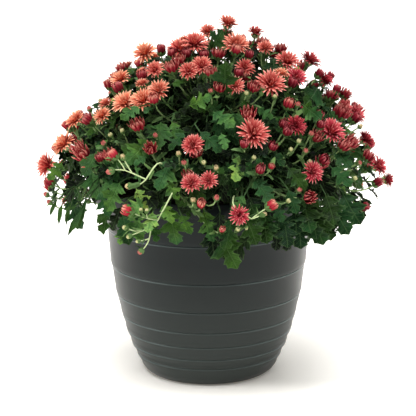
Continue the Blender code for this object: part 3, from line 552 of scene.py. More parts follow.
def row_sections(leaf, rows):
    """The box round each row of a leaf, a margin larger than the leaf."""
    side = leaf_side(leaf)
    sections = []
    for middle, half_width, normal in rows:
        spread = side * (half_width + MARGIN)
        rib = normal * (LEAF_RIB_DEPTH + MARGIN)
        left = middle - spread
        right = middle + spread
        lift = normal * MARGIN
        sections.append([left + lift, right + lift, right - rib, left - rib])
    return sections


def blade_shape(leaf):
    """The room that the lobed blade of a leaf takes."""
    return loft(row_sections(leaf, blade_rows(leaf)))


def leaf_shape(leaf):
    """The room that the lobed blade of a leaf takes with its stalk."""
    rows = blade_rows(leaf)
    stalk_normal = (leaf["base"] - leaf["root"]).cross(leaf_side(leaf)).normalized()
    middle, half_width, tilt = rows[0]
    rows[0] = (middle, half_width, (tilt + stalk_normal).normalized())
    rows.insert(0, (leaf["root"], LEAF_STALK_HALF_WIDTH, stalk_normal))
    return loft(row_sections(leaf, rows))


class Room:
    """Keeps the shapes laid so far, and says whether a new one is clear of them."""

    def __init__(self):
        self.taken = []

    def probe(self, bm):
        """Search tree and box of a shape, which is freed."""
        low = Vector([min(vertex.co[k] for vertex in bm.verts) for k in range(3)])
        high = Vector([max(vertex.co[k] for vertex in bm.verts) for k in range(3)])
        tree = BVHTree.FromBMesh(bm)
        bm.free()
        return tree, low, high

    def take(self, bm, owner):
        """Adds a shape."""
        self.taken.append((*self.probe(bm), owner))

    def touched(self, bm, ignore=()):
        """Owners of the shapes that a shape touches, apart from those to ignore."""
        tree, low, high = self.probe(bm)
        owners = set()
        for other, other_low, other_high, owner in self.taken:
            if owner in ignore or owner in owners:
                continue
            if any(low[k] > other_high[k] or other_low[k] > high[k] for k in range(3)):
                continue
            if tree.overlap(other):
                owners.add(owner)
        return owners

    def free(self, bm, ignore=()):
        """True when the shape touches nothing, apart from the owners to ignore."""
        return not self.touched(bm, ignore)


def clear_of_pot(path):
    """True when a path stays outside the pot's rim and over the soil."""
    for start, end in zip(path, path[1:]):
        for step in range(PATH_CHECKS + 1):
            point = start.lerp(end, step / PATH_CHECKS)
            near_rim = math.hypot(point.x, point.y) < RIM_RADIUS + POT_CLEARANCE
            if near_rim and point.z < RIM_TOP + POT_CLEARANCE:
                return False
    return True


def pot_block():
    """A plain drum a little larger than the pot, which the plant hangs clear of."""
    radius = RIM_RADIUS + POT_CLEARANCE / 2
    sections = []
    for height in (0.0, RIM_TOP + POT_CLEARANCE / 2):
        headings = [2 * math.pi * step / POT_SEGMENTS for step in range(POT_SEGMENTS)]
        sections.append([heading_vector(math.pi / 2, angle) * radius + UP * height for angle in headings])
    return loft(sections)


def free_roots(stem, used, spacing):
    """Points of a stem that no other stalk or leaf starts from, those near its usual share first."""
    shares = sorted(ROOT_SHARES, key=lambda share: abs(share - STALK_ROOT_SHARE))
    points = [stem_point(stem, share) for share in shares]
    taken = used.setdefault(stem["name"], [])
    return [point for point in points if all((point - other).length > spacing for other in taken)]


def own_names(stem):
    """Names of a stem's own shapes in the room: what it carries, and its tube."""
    return stem["name"], f"{stem['name']} tube"


def lay_stalk(room, stem, used, end, facing):
    """A stalk from a stem to a point that it meets squarely, clear of all else, or None."""
    for root in free_roots(stem, used, ROOT_SPACING):
        knee = end - facing * (STALK_KNEE_SHARE * (end - root).length)
        path = [root, knee, end]
        radii = [STALK_RADIUS + MARGIN] * 3
        if not clear_of_pot(path) or not room.free(skin(path, radii), own_names(stem)):
            continue
        upper = [root.lerp(knee, STALK_KNEE_SHARE), knee, end]
        if room.free(skin(upper, radii), own_names(stem)[1:]):
            return path
    return None


def bloom_facing(place, draw):
    """Facing of a bloom: out of the dome and somewhat up."""
    out = (place - HEART).normalized()
    chance = random_direction(draw) * FACING_CHANCE
    return (out * FACING_OUT + UP * FACING_UP + chance).normalized()


def joined_group(groups, bloom, owner):
    """The group of that name when the bloom crosses it well, or None."""
    tree = BVHTree.FromBMesh(bloom_shape(bloom))
    for group in groups:
        if group["name"] == owner and len(group["blooms"]) < GROUP_SIZE:
            others = [BVHTree.FromBMesh(bloom_shape(other)) for other in group["blooms"]]
            crossed = sum(len(tree.overlap(other)) for other in others)
            return group if crossed >= TOUCHING_FACES else None
    return None


def drawn_bloom(groups, bloom):
    """The bloom moved until it crosses a near neighbour of a group that has room, or None."""
    open_groups = [group for group in groups if len(group["blooms"]) < GROUP_SIZE]
    others = [other for group in open_groups for other in group["blooms"]]
    if not others:
        return None
    nearest = min(others, key=lambda other: (other["place"] - bloom["place"]).length)
    reach = GROUP_REACH * (nearest["radius"] + bloom["radius"])
    away = bloom["place"] - nearest["place"]
    if away.length > reach:
        return None
    facing = (bloom["facing"] + nearest["facing"] * COMPANION_ACCORD).normalized()
    fixed = BVHTree.FromBMesh(bloom_shape(nearest))
    for step in range(DRAW_STEPS):
        place = nearest["place"] + away * (1 - step * DRAW_SHARE)
        drawn = {"place": place, "facing": facing, "radius": bloom["radius"]}
        if len(fixed.overlap(BVHTree.FromBMesh(bloom_shape(drawn)))) >= TOUCHING_FACES:
            return drawn
    return None


def lay_drawn_bloom(room, stems, used, groups, bloom):
    """Takes room for a bloom, drawn to a neighbour if it can be, or returns False."""
    drawn = drawn_bloom(groups, bloom)
    if drawn is not None and lay_bloom(room, stems, used, groups, drawn):
        return True
    return lay_bloom(room, stems, used, groups, bloom)


def lay_bloom(room, stems, used, groups, bloom):
    """Takes room for a bloom, on its own or joined to the one group that it crosses, or returns False."""
    owners = room.touched(bloom_shape(bloom, MARGIN))
    group = None
    if owners:
        group = joined_group(groups, bloom, owners.pop())
        if group is None or owners:
            return False
    if group is None and len(groups) == BLOOM_GROUPS:
        return False
    stem = stem_of(stems, bloom["place"])
    stalk = lay_calyx(room, stem, used, bloom)
    if stalk is None:
        return False
    if group is None:
        group = {"name": f"bloom_{len(groups) + 1:02d}", "blooms": [], "stalks": []}
        groups.append(group)
    group["blooms"].append(bloom)
    group["stalks"].append(stalk)
    room.take(bloom_shape(bloom, MARGIN), group["name"])
    return True


def lay_calyx(room, stem, used, bloom):
    """Takes room for the stalk and calyx under a bloom, or returns None."""
    seat = bloom["place"] + bloom["facing"] * (SMALL_BLOOM["root"] * bloom["radius"] - GAP)
    path = lay_stalk(room, stem, used, seat - bloom["facing"] * CALYX_HEIGHT, bloom["facing"])
    if path is None:
        return None
    stalk = {"stem": stem["name"], "path": path, "end": seat, "kind": "calyx"}
    if not room.free(stalk_skin(stalk), own_names(stem)):
        return None
    used[stem["name"]].append(path[0])
    room.take(stalk_skin(stalk), stem["name"])
    return stalk


def stalk_radii(stalk):
    """Path and radii of a stalk, with its swollen end."""
    path = list(stalk["path"])
    radii = [STALK_RADIUS] * len(path)
    along = (path[-1] - path[-2]).normalized()
    if stalk["kind"] == "calyx":
        path.append(stalk["end"])
        radii.append(CALYX_RADIUS)
    if stalk["kind"] == "bud":
        path.append(path[-1] + along * (BUD_LENGTH * BUD_NECK_SHARE))
        radii.append(BUD_RADIUS)
        path.append(path[-2] + along * BUD_LENGTH)
        radii.append(BUD_RADIUS * BUD_TIP_SHARE)
    return path, radii


def stalk_skin(stalk):
    """Closed skin round a stalk and its swollen end, a margin larger than both."""
    path, radii = stalk_radii(stalk)
    return skin(path, [radius + MARGIN for radius in radii])


def lay_near_blooms(room, stems, used, groups, draw):
    """The open blooms of the near side, at the places read for them."""
    for aside_mm, high_mm, diameter_mm in NEAR_BLOOMS:
        for deeper, shrink in NEAR_TRIES:
            depth = seen_place(aside_mm, high_mm).y + deeper
            place = seen_at_depth(aside_mm, high_mm, depth)
            radius = diameter_mm / 2000 * shrink
            bloom = {"place": place, "facing": bloom_facing(place, draw), "radius": radius}
            if lay_drawn_bloom(room, stems, used, groups, bloom):
                break


def lowered_place(direction, height):
    """Place near the dome's surface where a thing of that height stays under the upper outline, or None."""
    for step in range(LOWER_STEPS):
        place = HEART + direction * (dome_radius(direction) * (1 - LOWER_SHARE * step))
        if under_seen_top(place, height):
            return place
    return None


def lay_far_blooms(room, stems, used, groups, draw):
    """Open blooms of the far side: single ones and touching pairs, evenly spread."""
    laid = 0
    for index in range(FAR_TRIES):
        if laid >= FAR_BLOOMS:
            break
        direction = spread_direction(index, 1.0, FAR_SPAN)
        if direction.y < FAR_SIDE:
            continue
        radius = draw.uniform(*FAR_DIAMETERS) / 2
        place = lowered_place(direction, radius * BLOOM_HEIGHT_SHARE)
        if place is None:
            continue
        bloom = {"place": place, "facing": bloom_facing(place, draw), "radius": radius}
        if not lay_drawn_bloom(room, stems, used, groups, bloom):
            continue
        laid += 1
        if draw.random() < FAR_COMPANION_SHARE:
            laid += lay_companion(room, stems, used, groups, bloom, draw)


def lay_companion(room, stems, used, groups, bloom, draw):
    """A smaller bloom beside another, touching it. Returns how many were laid."""
    for _ in range(COMPANION_TRIES):
        turn = draw.uniform(-math.pi, math.pi)
        first = square_to(bloom["facing"])
        aside = first * math.cos(turn) + bloom["facing"].cross(first) * math.sin(turn)
        beside = bloom["place"] + aside * (bloom["radius"] * COMPANION_DISTANCE)
        if not under_seen_top(beside, bloom["radius"] * BLOOM_HEIGHT_SHARE):
            continue
        facing = (bloom_facing(beside, draw) + bloom["facing"] * COMPANION_ACCORD).normalized()
        companion = {"place": beside, "facing": facing, "radius": bloom["radius"] * COMPANION_SIZE}
        if lay_drawn_bloom(room, stems, used, groups, companion):
            return 1
    return 0


def lay_small(room, stems, used, draw):
    """Half-open blooms and buds over the whole dome, and the pale spray that hangs at the near side."""
    small = []
    for aside_mm, high_mm in HANGING_SPRAY:
        place = seen_place(aside_mm, high_mm)
        facing = ((place - HEART).normalized() - UP * SPRAY_DROOP).normalized()
        lay_one_small(room, stems, used, place, facing, "bud", small)
    for kind, count in (("half_open", HALF_OPEN_COUNT), ("bud", BUD_COUNT)):
        goal = len(small) + count
        for _ in range(count * SMALL_TRIES):
            if len(small) == goal:
                break
            lean = math.acos(1 - SMALL_LEAN * draw.random())
            direction = heading_vector(lean, draw.uniform(-math.pi, math.pi))
            place = HEART + direction * (dome_radius(direction) * draw.uniform(*SMALL_REACHES))
            if under_seen_top(place, SMALL_HEIGHT):
                lay_one_small(room, stems, used, place, bloom_facing(place, draw), kind, small)
    return small


def lay_one_small(room, stems, used, place, facing, kind, small):
    """Takes room for one half-open bloom or bud with its stalk, where it fits."""
    stem = stem_of(stems, place)
    if kind == "half_open":
        end = place - facing * (HALF_OPEN_RADIUS * 0.5)
        if not room.free(half_open_shape(place, facing)):
            return
    else:
        end = place - facing * (BUD_LENGTH * 0.5)
        middle_line = [end, place, place + facing * (BUD_LENGTH * 0.5)]
        if not room.free(skin(middle_line, [BUD_RADIUS + MARGIN] * 3)):
            return
    path = lay_stalk(room, stem, used, end, facing)
    if path is None:
        return
    used[stem["name"]].append(path[0])
    stalk = {"stem": stem["name"], "path": path, "kind": kind, "facing": facing, "place": place}
    room.take(stalk_skin(stalk), stem["name"])
    if kind == "half_open":
        room.take(half_open_shape(place, facing), stem["name"])
    small.append(stalk)


def leaf_blade(out, length, draw):
    """A blade that faces out of the dome in a unit direction and tends to hang."""
    place = HEART + out * (dome_radius(out) * draw.uniform(*LEAF_REACHES))
    outward, upward, chance = LEAF_FACING
    normal = (out * outward + UP * upward + random_direction(draw) * chance).normalized()
    outward, downward, chance = LEAF_TIP
    wish = Vector((out.x, out.y, 0.0)) * outward - UP * downward + random_direction(draw) * chance
    axis = (wish - normal * wish.dot(normal)).normalized()
    base = place - axis * (LEAF_MIDDLE * length)
    return {"place": place, "base": base, "axis": axis, "normal": normal, "length": length}


def rooted_leaf(room, stems, used, blade):
    """The blade with a stalk from a stem, clear of all else, or None."""
    if not blade_fits(blade) or not room.free(blade_shape(blade)):
        return None
    direction = (blade["place"] - HEART).normalized()
    near = sorted(stems, key=lambda stem: -stem["direction"].dot(direction))
    for stem in near[:LEAF_STEMS]:
        roots = free_roots(stem, used, LEAF_ROOT_SPACING)
        roots.sort(key=lambda point: (point - blade["base"]).length)
        for root in roots[:LEAF_ROOTS]:
            leaf = {**blade, "root": root, "stem": stem["name"]}
            if not bends_gently(leaf) or not clear_of_pot([root, leaf["base"]]):
                continue
            if room.free(leaf_shape(leaf), own_names(stem)):
                return leaf
    return None


def lay_leaves(room, stems, used, leaves, count, spacing, draw):
    """Adds leaves over the whole dome, from its shoulders to the fringe that hangs over the rim."""
    for index in range(LEAF_TRIES):
        out = spread_direction(index, LEAF_TOP, LEAF_SPAN)
        for step in range(LEAF_POSES):
            if len(leaves) == count:
                return
            longest, shortest = LEAF_LENGTHS
            blade = leaf_blade(out, longest + (shortest - longest) * step / LEAF_POSES, draw)
            if any((blade["place"] - other["place"]).length < spacing for other in leaves):
                continue
            leaf = rooted_leaf(room, stems, used, blade)
            if leaf is not None:
                used[leaf["stem"]].append(leaf["root"])
                room.take(leaf_shape(leaf), leaf["stem"])
                leaves.append(leaf)
                break


def lay_out():
    """Places every stem, bloom, bud and leaf, each clear of what other stems carry."""
    draw = random.Random(SEED)
    room = Room()
    room.take(pot_block(), "pot")
    stems = make_stems()
    for stem in stems:
        radii = stem_radii(stem)
        room.take(skin(stem["path"], [radius + MARGIN for radius in radii]), own_names(stem)[1])
    used = {}
    groups = []
    leaves = []
    lay_near_blooms(room, stems, used, groups, draw)
    lay_leaves(room, stems, used, leaves, *LEAF_ROUNDS[0], draw)
    lay_far_blooms(room, stems, used, groups, draw)
    small = lay_small(room, stems, used, draw)
    lay_leaves(room, stems, used, leaves, *LEAF_ROUNDS[1], draw)
    return stems, groups, small, leaves


def stem_radii(stem):
    """Radius of a stem at each point of its path."""
    count = len(stem["path"]) - 1
    slimming = (STEM_TIP_RADIUS - STEM_FOOT_RADIUS) / count
    return [STEM_FOOT_RADIUS + slimming * index for index in range(count + 1)]


# Shapes that repeat. Rows of a floret: share of its length, half width and half thickness.

FLORET_ROWS = (
    (0.00, 0.34, 0.12), (0.25, 0.72, 0.12), (0.52, 1.00, 0.11), (0.76, 0.86, 0.09), (0.92, 0.46, 0.07),
    (1.00, 0.08, 0.04),
)

# Rows of a bract, which is short and broad
BRACT_ROWS = ((0.00, 0.80, 0.20), (0.40, 1.00, 0.18), (0.80, 0.70, 0.14), (1.00, 0.15, 0.06))

# Rows of a leaf: share of its length on the midrib, then share of its length and half width on the edge
LEAF_EDGE = (
    (0.00, 0.00, 0.016), (0.10, 0.07, 0.030), (0.15, 0.17, 0.170), (0.19, 0.215, 0.180),
    (0.235, 0.305, 0.290), (0.265, 0.320, 0.225), (0.295, 0.355, 0.205), (0.325, 0.340, 0.085),
    (0.37, 0.390, 0.085), (0.41, 0.480, 0.265), (0.45, 0.515, 0.262), (0.49, 0.610, 0.375),
    (0.53, 0.625, 0.290), (0.57, 0.680, 0.250), (0.605, 0.650, 0.110), (0.66, 0.700, 0.112),
    (0.72, 0.800, 0.230), (0.77, 0.820, 0.175), (0.84, 0.915, 0.170), (0.89, 0.935, 0.105),
    (1.00, 1.00, 0.012),
)
SLIM_LEAF_EDGE = (
    (0.00, 0.00, 0.016), (0.14, 0.15, 0.050), (0.38, 0.42, 0.160), (0.62, 0.66, 0.190), (0.80, 0.84, 0.120),
    (1.00, 1.00, 0.012),
)
SLIM_BELOW = 0.6
LEAF_THICKNESS = 0.0005
TEMPLATE_THICKNESS = 0.005
STALK_ROWS = 7
STALK_CORNERS = 6
LEAF_STALK_ROWS = 4
LEAF_STALK_CORNERS = 3
STEM_ROWS = 15
STEM_CORNERS = 8

# Stalks: radius at root and tip, and tone from 0, dark and brown, to 1, pale
BLOOM_STALK = (0.0012, 0.0012, 0.38)
BLOOM_SEAT = (0.0013, 0.0044, 0.45)
SMALL_STALK = (0.0011, 0.0009, 0.60)
LEAF_STALK = (0.0011, 0.0009, 0.12)
SPRAY_STALK = (0.0012, 0.0009, 0.80)
SPRAY_BRANCH = (0.0008, 0.0007, 0.80)
STEM_TONE = 0.25

# Leaflets on the stalks: least value of each measure and what chance may add
LEAFLET_LENGTHS = (0.009, 0.011)
LEAFLET_ANGLES = ((30, 30), (-5, 50))
LEAFLET_TONES = (0.22, 0.25)
LEAFLET_WIDTH = 0.17
LEAFLET_ROOT = 0.0006

# Tone of the solids' own leaves: its least value, what chance may add and the power of chance
SOLID_LEAF_TONES = (0.02, 0.62, 1.5)

# Tones of calyces and bracts, and materials of the small blooms by number
CALYX_TONE = 0.8
BRACT_TONE = 0.35
SMALL_MATERIALS = ("half-open maroon petal", "chrysanthemum bud petal", "coral chrysanthemum petal")

# Layers of florets in an open bloom, from the outside in: count, share of the radius, and angles over the
# plane of the bloom at root and tip in degrees
OPEN_LAYERS = (
    (18, 1.12, 44, -8), (18, 1.12, 50, 12), (17, 1.08, 56, 32), (15, 0.98, 63, 52), (12, 0.82, 71, 76),
    (9, 0.60, 80, 106),
)
HALF_OPEN_LAYERS = ((10, 2.60, 28, 124), (9, 2.50, 34, 134), (7, 2.20, 42, 144), (4, 1.80, 55, 150))
CUP_LAYERS = ((10, 2.40, 26, 94), (9, 2.45, 34, 106), (7, 2.25, 44, 116), (4, 1.90, 58, 122))
BUD_LAYERS = ((7, 2.55, 26, 146), (5, 2.30, 32, 158))

# How far petals differ by chance: place on their ring, length, width, tilt and curl in degrees. How much
# narrower each further layer is, how deeply petals are cupped, and how far aside a corner of an edge lies.
PLACE_SWING = 0.45
LENGTH_SWING = 0.20
WIDTH_SWING = 0.16
TILT_SWING = 16
CURL_SWING = 22
LAYER_NARROWING = 0.05
PETAL_CUPPING = 0.42
ON_EDGE = 0.001

# Rings of petals or bracts: their layers, then half width, distance and height of their roots as shares of
# the radius, and how unruly they are. The florets of an open bloom are as wide as the settings say.
PETAL_RINGS = {
    "open": (OPEN_LAYERS, None, 0.05, -0.36, 1.0),
    "cup": (CUP_LAYERS, 0.27, 0.12, -0.95, 0.5),
    "ball": (HALF_OPEN_LAYERS, 0.27, 0.12, -0.95, 0.5),
    "bud": (BUD_LAYERS, 0.52, 0.10, -1.0, 0.4),
    "calyx": (((10, 1.75, 32, 74), (9, 1.35, 22, 66)), 0.34, 0.20, -0.90, 0.6),
    "bud_bracts": (((8, 1.75, 24, 96),), 0.42, 0.12, -1.10, 0.4),
    "bracts": (((8, 1.35, 16, 84), (8, 1.0, 8, 60)), 0.34, 0.12, -1.06, 0.4),
}


# Faces that meet at less than this angle are shaded as one
SMOOTH_TO = math.radians(50)
POT_SMOOTH_TO = math.radians(42)
SOIL_SMOOTH_TO = math.radians(60)


class Pile:
    """Copies of shapes that are gathered into one mesh."""

    def __init__(self):
        self.points = []
        self.looks = []
        self.maps = []
        self.faces = []
        self.slots = []
        self.count = 0

    def add(self, shape, points, look, place_map=None, slot=0):
        """Adds copies of a shape: points and looks are given for each copy and each of its corners."""
        copies, corners = points.shape[:2]
        starts = self.count + corners * np.arange(copies)
        for group in shape["faces"]:
            faces = (group[None] + starts[:, None, None]).reshape(-1, group.shape[1])
            self.faces.extend(faces.tolist())
            self.slots.append(np.full(len(faces), slot))
        self.points.append(points.reshape(-1, 3))
        self.looks.append(look.reshape(-1, 4))
        if place_map is None:
            place_map = np.zeros((copies, corners, 2))
        self.maps.append(place_map.reshape(-1, 2))
        self.count += copies * corners

    def made(self, name, materials):
        """The finished piece, shaded smooth but for its sharp edges."""
        mesh = bpy.data.meshes.new(name)
        mesh.from_pydata(np.concatenate(self.points).tolist(), [], self.faces)
        look = mesh.attributes.new("look", "FLOAT_COLOR", "POINT")
        look.data.foreach_set("color", np.concatenate(self.looks).ravel())
        corner_points = np.zeros(len(mesh.loops), int)
        mesh.loops.foreach_get("vertex_index", corner_points)
        layer = mesh.uv_layers.new(name="place")
        layer.data.foreach_set("uv", np.concatenate(self.maps)[corner_points].ravel())
        mesh.polygons.foreach_set("material_index", np.concatenate(self.slots))
        for material in materials:
            mesh.materials.append(material)
        piece = bpy.data.objects.new(name, mesh)
        bpy.context.collection.objects.link(piece)
        activate(piece)
        bpy.ops.object.shade_smooth_by_angle(angle=SMOOTH_TO)
        return piece


def activate(piece):
    """Selects one object alone."""
    bpy.ops.object.select_all(action="DESELECT")
    piece.select_set(True)
    bpy.context.view_layer.objects.active = piece


def finish_mode():
    """Closes edit mode with all faces pointing outwards."""
    bpy.ops.mesh.select_all(action="SELECT")
    bpy.ops.mesh.normals_make_consistent(inside=False)
    bpy.ops.object.mode_set(mode="OBJECT")


def shape_of(piece):
    """Corners and faces of a modelled shape, which is then removed."""
    points = np.array([vertex.co for vertex in piece.data.vertices])
    faces = [list(face.vertices) for face in piece.data.polygons]
    sizes = sorted({len(face) for face in faces})
    groups = [np.array([face for face in faces if len(face) == size]) for size in sizes]
    bpy.data.objects.remove(piece)
    return {"points": points, "faces": groups}


def grown(corners, rows):
    """A closed shape that is extruded row by row along Z from a flat ring."""
    bpy.ops.object.select_all(action="DESELECT")
    foot = (0, 0, rows[0][0])
    bpy.ops.mesh.primitive_circle_add(vertices=corners, radius=1.0, fill_type="NGON", location=foot)
    piece = bpy.context.object
    bpy.ops.object.transform_apply(location=True, rotation=False, scale=False)
    bpy.ops.object.mode_set(mode="EDIT")
    bpy.ops.mesh.select_all(action="SELECT")
    before = (rows[0][0], 1.0, 1.0)
    for index, row in enumerate(rows):
        if index:
            bpy.ops.mesh.extrude_region_move(TRANSFORM_OT_translate={"value": (0, 0, row[0] - before[0])})
        widening = (row[1] / before[1], row[2] / before[2], 1.0)
        bpy.ops.transform.resize(value=widening, center_override=(0, 0, row[0]))
        before = row
    finish_mode()
    return shape_of(piece)


def tube_template(corners, rows):
    """A tube of unit length and radius."""
    return grown(corners, [(step / (rows - 1), 1.0, 1.0) for step in range(rows)])


def leaf_template(edges):
    """A flat leaf of unit length: its edge corners reach forward of the midrib's."""
    shape = grown(4, [(middle, width, TEMPLATE_THICKNESS) for middle, edge, width in edges])
    reach = {round(middle, 3): edge for middle, edge, width in edges}
    for point in shape["points"]:
        if abs(point[0]) > ON_EDGE:
            point[2] = reach[round(float(point[2]), 3)]
    return shape


def frames_along(path):
    """Two sideways unit vectors at each point of a path, without twist."""
    path = np.array(path)
    tangents = np.gradient(path, axis=0)
    tangents /= np.linalg.norm(tangents, axis=1)[:, None]
    side = np.array(square_to(Vector(tangents[0])))
    sides = []
    for tangent in tangents:
        side = side - tangent * side.dot(tangent)
        side /= np.linalg.norm(side)
        sides.append(side)
    sides = np.array(sides)
    return sides, np.cross(tangents, sides)


def bowed(path, steps):
    """A smooth path through the ends of a stalk, bowed towards its knees."""
    points = [Vector(point) for point in path]
    bowed_path = []
    for step in range(steps):
        share = step / (steps - 1)
        row = list(points)
        while len(row) > 1:
            row = [a.lerp(b, share) for a, b in zip(row, row[1:])]
        bowed_path.append(row[0])
    return bowed_path


def add_tube(pile, shape, centre, kind):
    """A round stalk or stem through as many points as its shape has rows. Its kind is (root radius, tip
    radius, tone)."""
    centre = np.array(centre)
    sides, others = frames_along(centre)
    root_radius, tip_radius, tone = kind
    points = shape["points"]
    row = np.rint(points[:, 2] * (len(centre) - 1)).astype(int)
    radius = root_radius + (tip_radius - root_radius) * points[:, 2]
    placed = centre[row] + (sides[row] * points[:, :1] + others[row] * points[:, 1:2]) * radius[:, None]
    look = np.stack([points[:, 2], np.full(len(points), tone), points[:, 0], points[:, 1]], axis=1)
    pile.add(shape, placed[None], look[None], slot=1)


def facing_frame(facing):
    """Two unit vectors square to a facing, and the facing."""
    first = square_to(facing)
    return np.array([first, facing.cross(first), facing])


def kept_inside(points, root):
    """The points, drawn in towards their root as far as they reach out of the object's box."""
    root = np.array(root)
    low, high = (np.array(corner) - root for corner in CAD_BOX)
    reach = points - root
    return root + reach / max(1.0, (reach / np.where(reach > 0, high, low)).max())


def underside(x, y):
    """0 on the upper side of a petal or leaf, 1 on its underside and 0.5 on its edges."""
    return np.where(np.abs(x) > ON_EDGE, 0.5, np.where(y > 0, 0.0, 1.0))


def add_petals(pile, shape, place, facing, petals, tone, chance, slot=0):
    """Petals round an axis, each curled from its root angle to its tip angle.

    Each petal is (heading, length, half width, root angle, tip angle, distance and height of its root).
    """
    axes = facing_frame(facing)
    heading, length, half_width, start, end, root_out, root_high = [column[:, None] for column in petals.T]
    x, y, z = shape["points"].T
    turn = np.where(np.abs(end - start) < 0.02, 0.02, end - start)
    angle = start + turn * z
    out = root_out + length * (np.sin(angle) - np.sin(start)) / turn
    high = root_high + length * (np.cos(start) - np.cos(angle)) / turn
    lift = half_width * (PETAL_CUPPING * x**2 + y)
    out = out - np.sin(angle) * lift
    high = high + np.cos(angle) * lift
    aside = x * half_width
    spread_x = out * np.cos(heading) - aside * np.sin(heading)
    spread_y = out * np.sin(heading) + aside * np.cos(heading)
    local = np.stack([spread_x, spread_y, high], axis=2)
    points = kept_inside(local @ axes + np.array(place), place)
    luck = chance.random((len(petals), 1)) + 0 * x
    each = np.zeros_like(luck)
    look = np.stack([z + each, tone + each, underside(x, y) + each, luck], axis=2)
    place_map = np.stack([0.5 + 0.5 * x + each, z + each], axis=2)
    pile.add(shape, points, look, place_map, slot)


def swing(width, chance):
    """A value drawn from a range of that width round zero."""
    return width * (chance.random() - 0.5)


def layered_petals(layers, radius, half_width, chance, root_out, root_high, unruly):
    """Rows of petals for add_petals from layers of (count, share of the radius, root angle, tip angle)."""
    rows = []
    for number, (count, share, start, end) in enumerate(layers):
        first = chance.random() * 2 * math.pi
        for index in range(count):
            heading = first + 2 * math.pi * (index + swing(PLACE_SWING * unruly, chance)) / count
            length = share * radius * (1 + swing(LENGTH_SWING * unruly, chance))
            width = half_width * (1 - LAYER_NARROWING * number) * (1 + swing(WIDTH_SWING, chance))
            tilt = swing(TILT_SWING * unruly, chance)
            curl = swing(CURL_SWING * unruly, chance)
            angles = math.radians(start + tilt), math.radians(end + tilt + curl)
            rows.append((heading, length, width, *angles, root_out, root_high))
    return np.array(rows)


class Templates:
    """The shapes that are modelled once and copied."""

    def __init__(self):
        self.floret = grown(4, FLORET_ROWS)
        self.bract = grown(4, BRACT_ROWS)
        self.leaf = leaf_template(LEAF_EDGE)
        self.slim_leaf = leaf_template(SLIM_LEAF_EDGE)
        self.stalk = tube_template(STALK_CORNERS, STALK_ROWS)
        self.leaf_stalk = tube_template(LEAF_STALK_CORNERS, LEAF_STALK_ROWS)
        self.stem = tube_template(STEM_CORNERS, STEM_ROWS)


def add_ring(pile, shapes, ring, flower, tone, chance, slot=0):
    """One of the PETAL_RINGS on a flower, which has a place, facing and radius."""
    layers, width, root_out, root_high, unruly = PETAL_RINGS[ring]
    radius = flower["radius"]
    if ring == "open":
        width = bpy.context.scene.chrysanthemum_plant.floret_width
    roots = root_out * radius, root_high * radius
    petals = layered_petals(layers, radius, width * radius, chance, *roots, unruly)
    shape = shapes.floret if ring == "open" else shapes.bract
    add_petals(pile, shape, flower["place"], flower["facing"], petals, tone, chance, slot)


def add_leaf(pile, shapes, leaf, tone, chance):
    """A lobed leaf that droops along its length, with a wavy edge and a fold along its midrib."""
    template = shapes.slim_leaf if leaf.get("wide", 1.0) < SLIM_BELOW else shapes.leaf
    x, y, z = template["points"].T
    length = leaf["length"]
    side = np.array(leaf_side(leaf))
    axis = np.array(leaf["axis"])
    normal = np.array(leaf["normal"])
    bend = leaf.get("bend", LEAF_BEND)
    wave_phase = chance.random() * 2 * math.pi
    fold = drawn(LEAF_FOLDS, chance)
    slant = swing(LEAF_SLANT, chance)
    wide = leaf.get("wide", drawn(LEAF_WIDTHS, chance))
    wave = WAVE_HEIGHT * np.sin(WAVE_TURNS * z + wave_phase + 2.0 * np.sign(x)) * np.abs(x) - LEAF_ARCH * x**2
    lift = fold * np.abs(x) + wave - bend * z**2 + y * LEAF_THICKNESS / length / TEMPLATE_THICKNESS
    sway = slant * z**2
    points = np.array(leaf["base"]) + length * (
        axis * z[:, None] + side * (x * wide + sway)[:, None] + normal * lift[:, None]
    )
    points = kept_inside(points, leaf["base"])
    edge = (np.abs(x) > ON_EDGE).astype(float)
    look = np.stack([z, np.full(len(z), tone), underside(x, y), edge], axis=1)
    place_map = np.stack([0.5 + x, z], axis=1)
    pile.add(template, points[None], look[None], place_map[None])


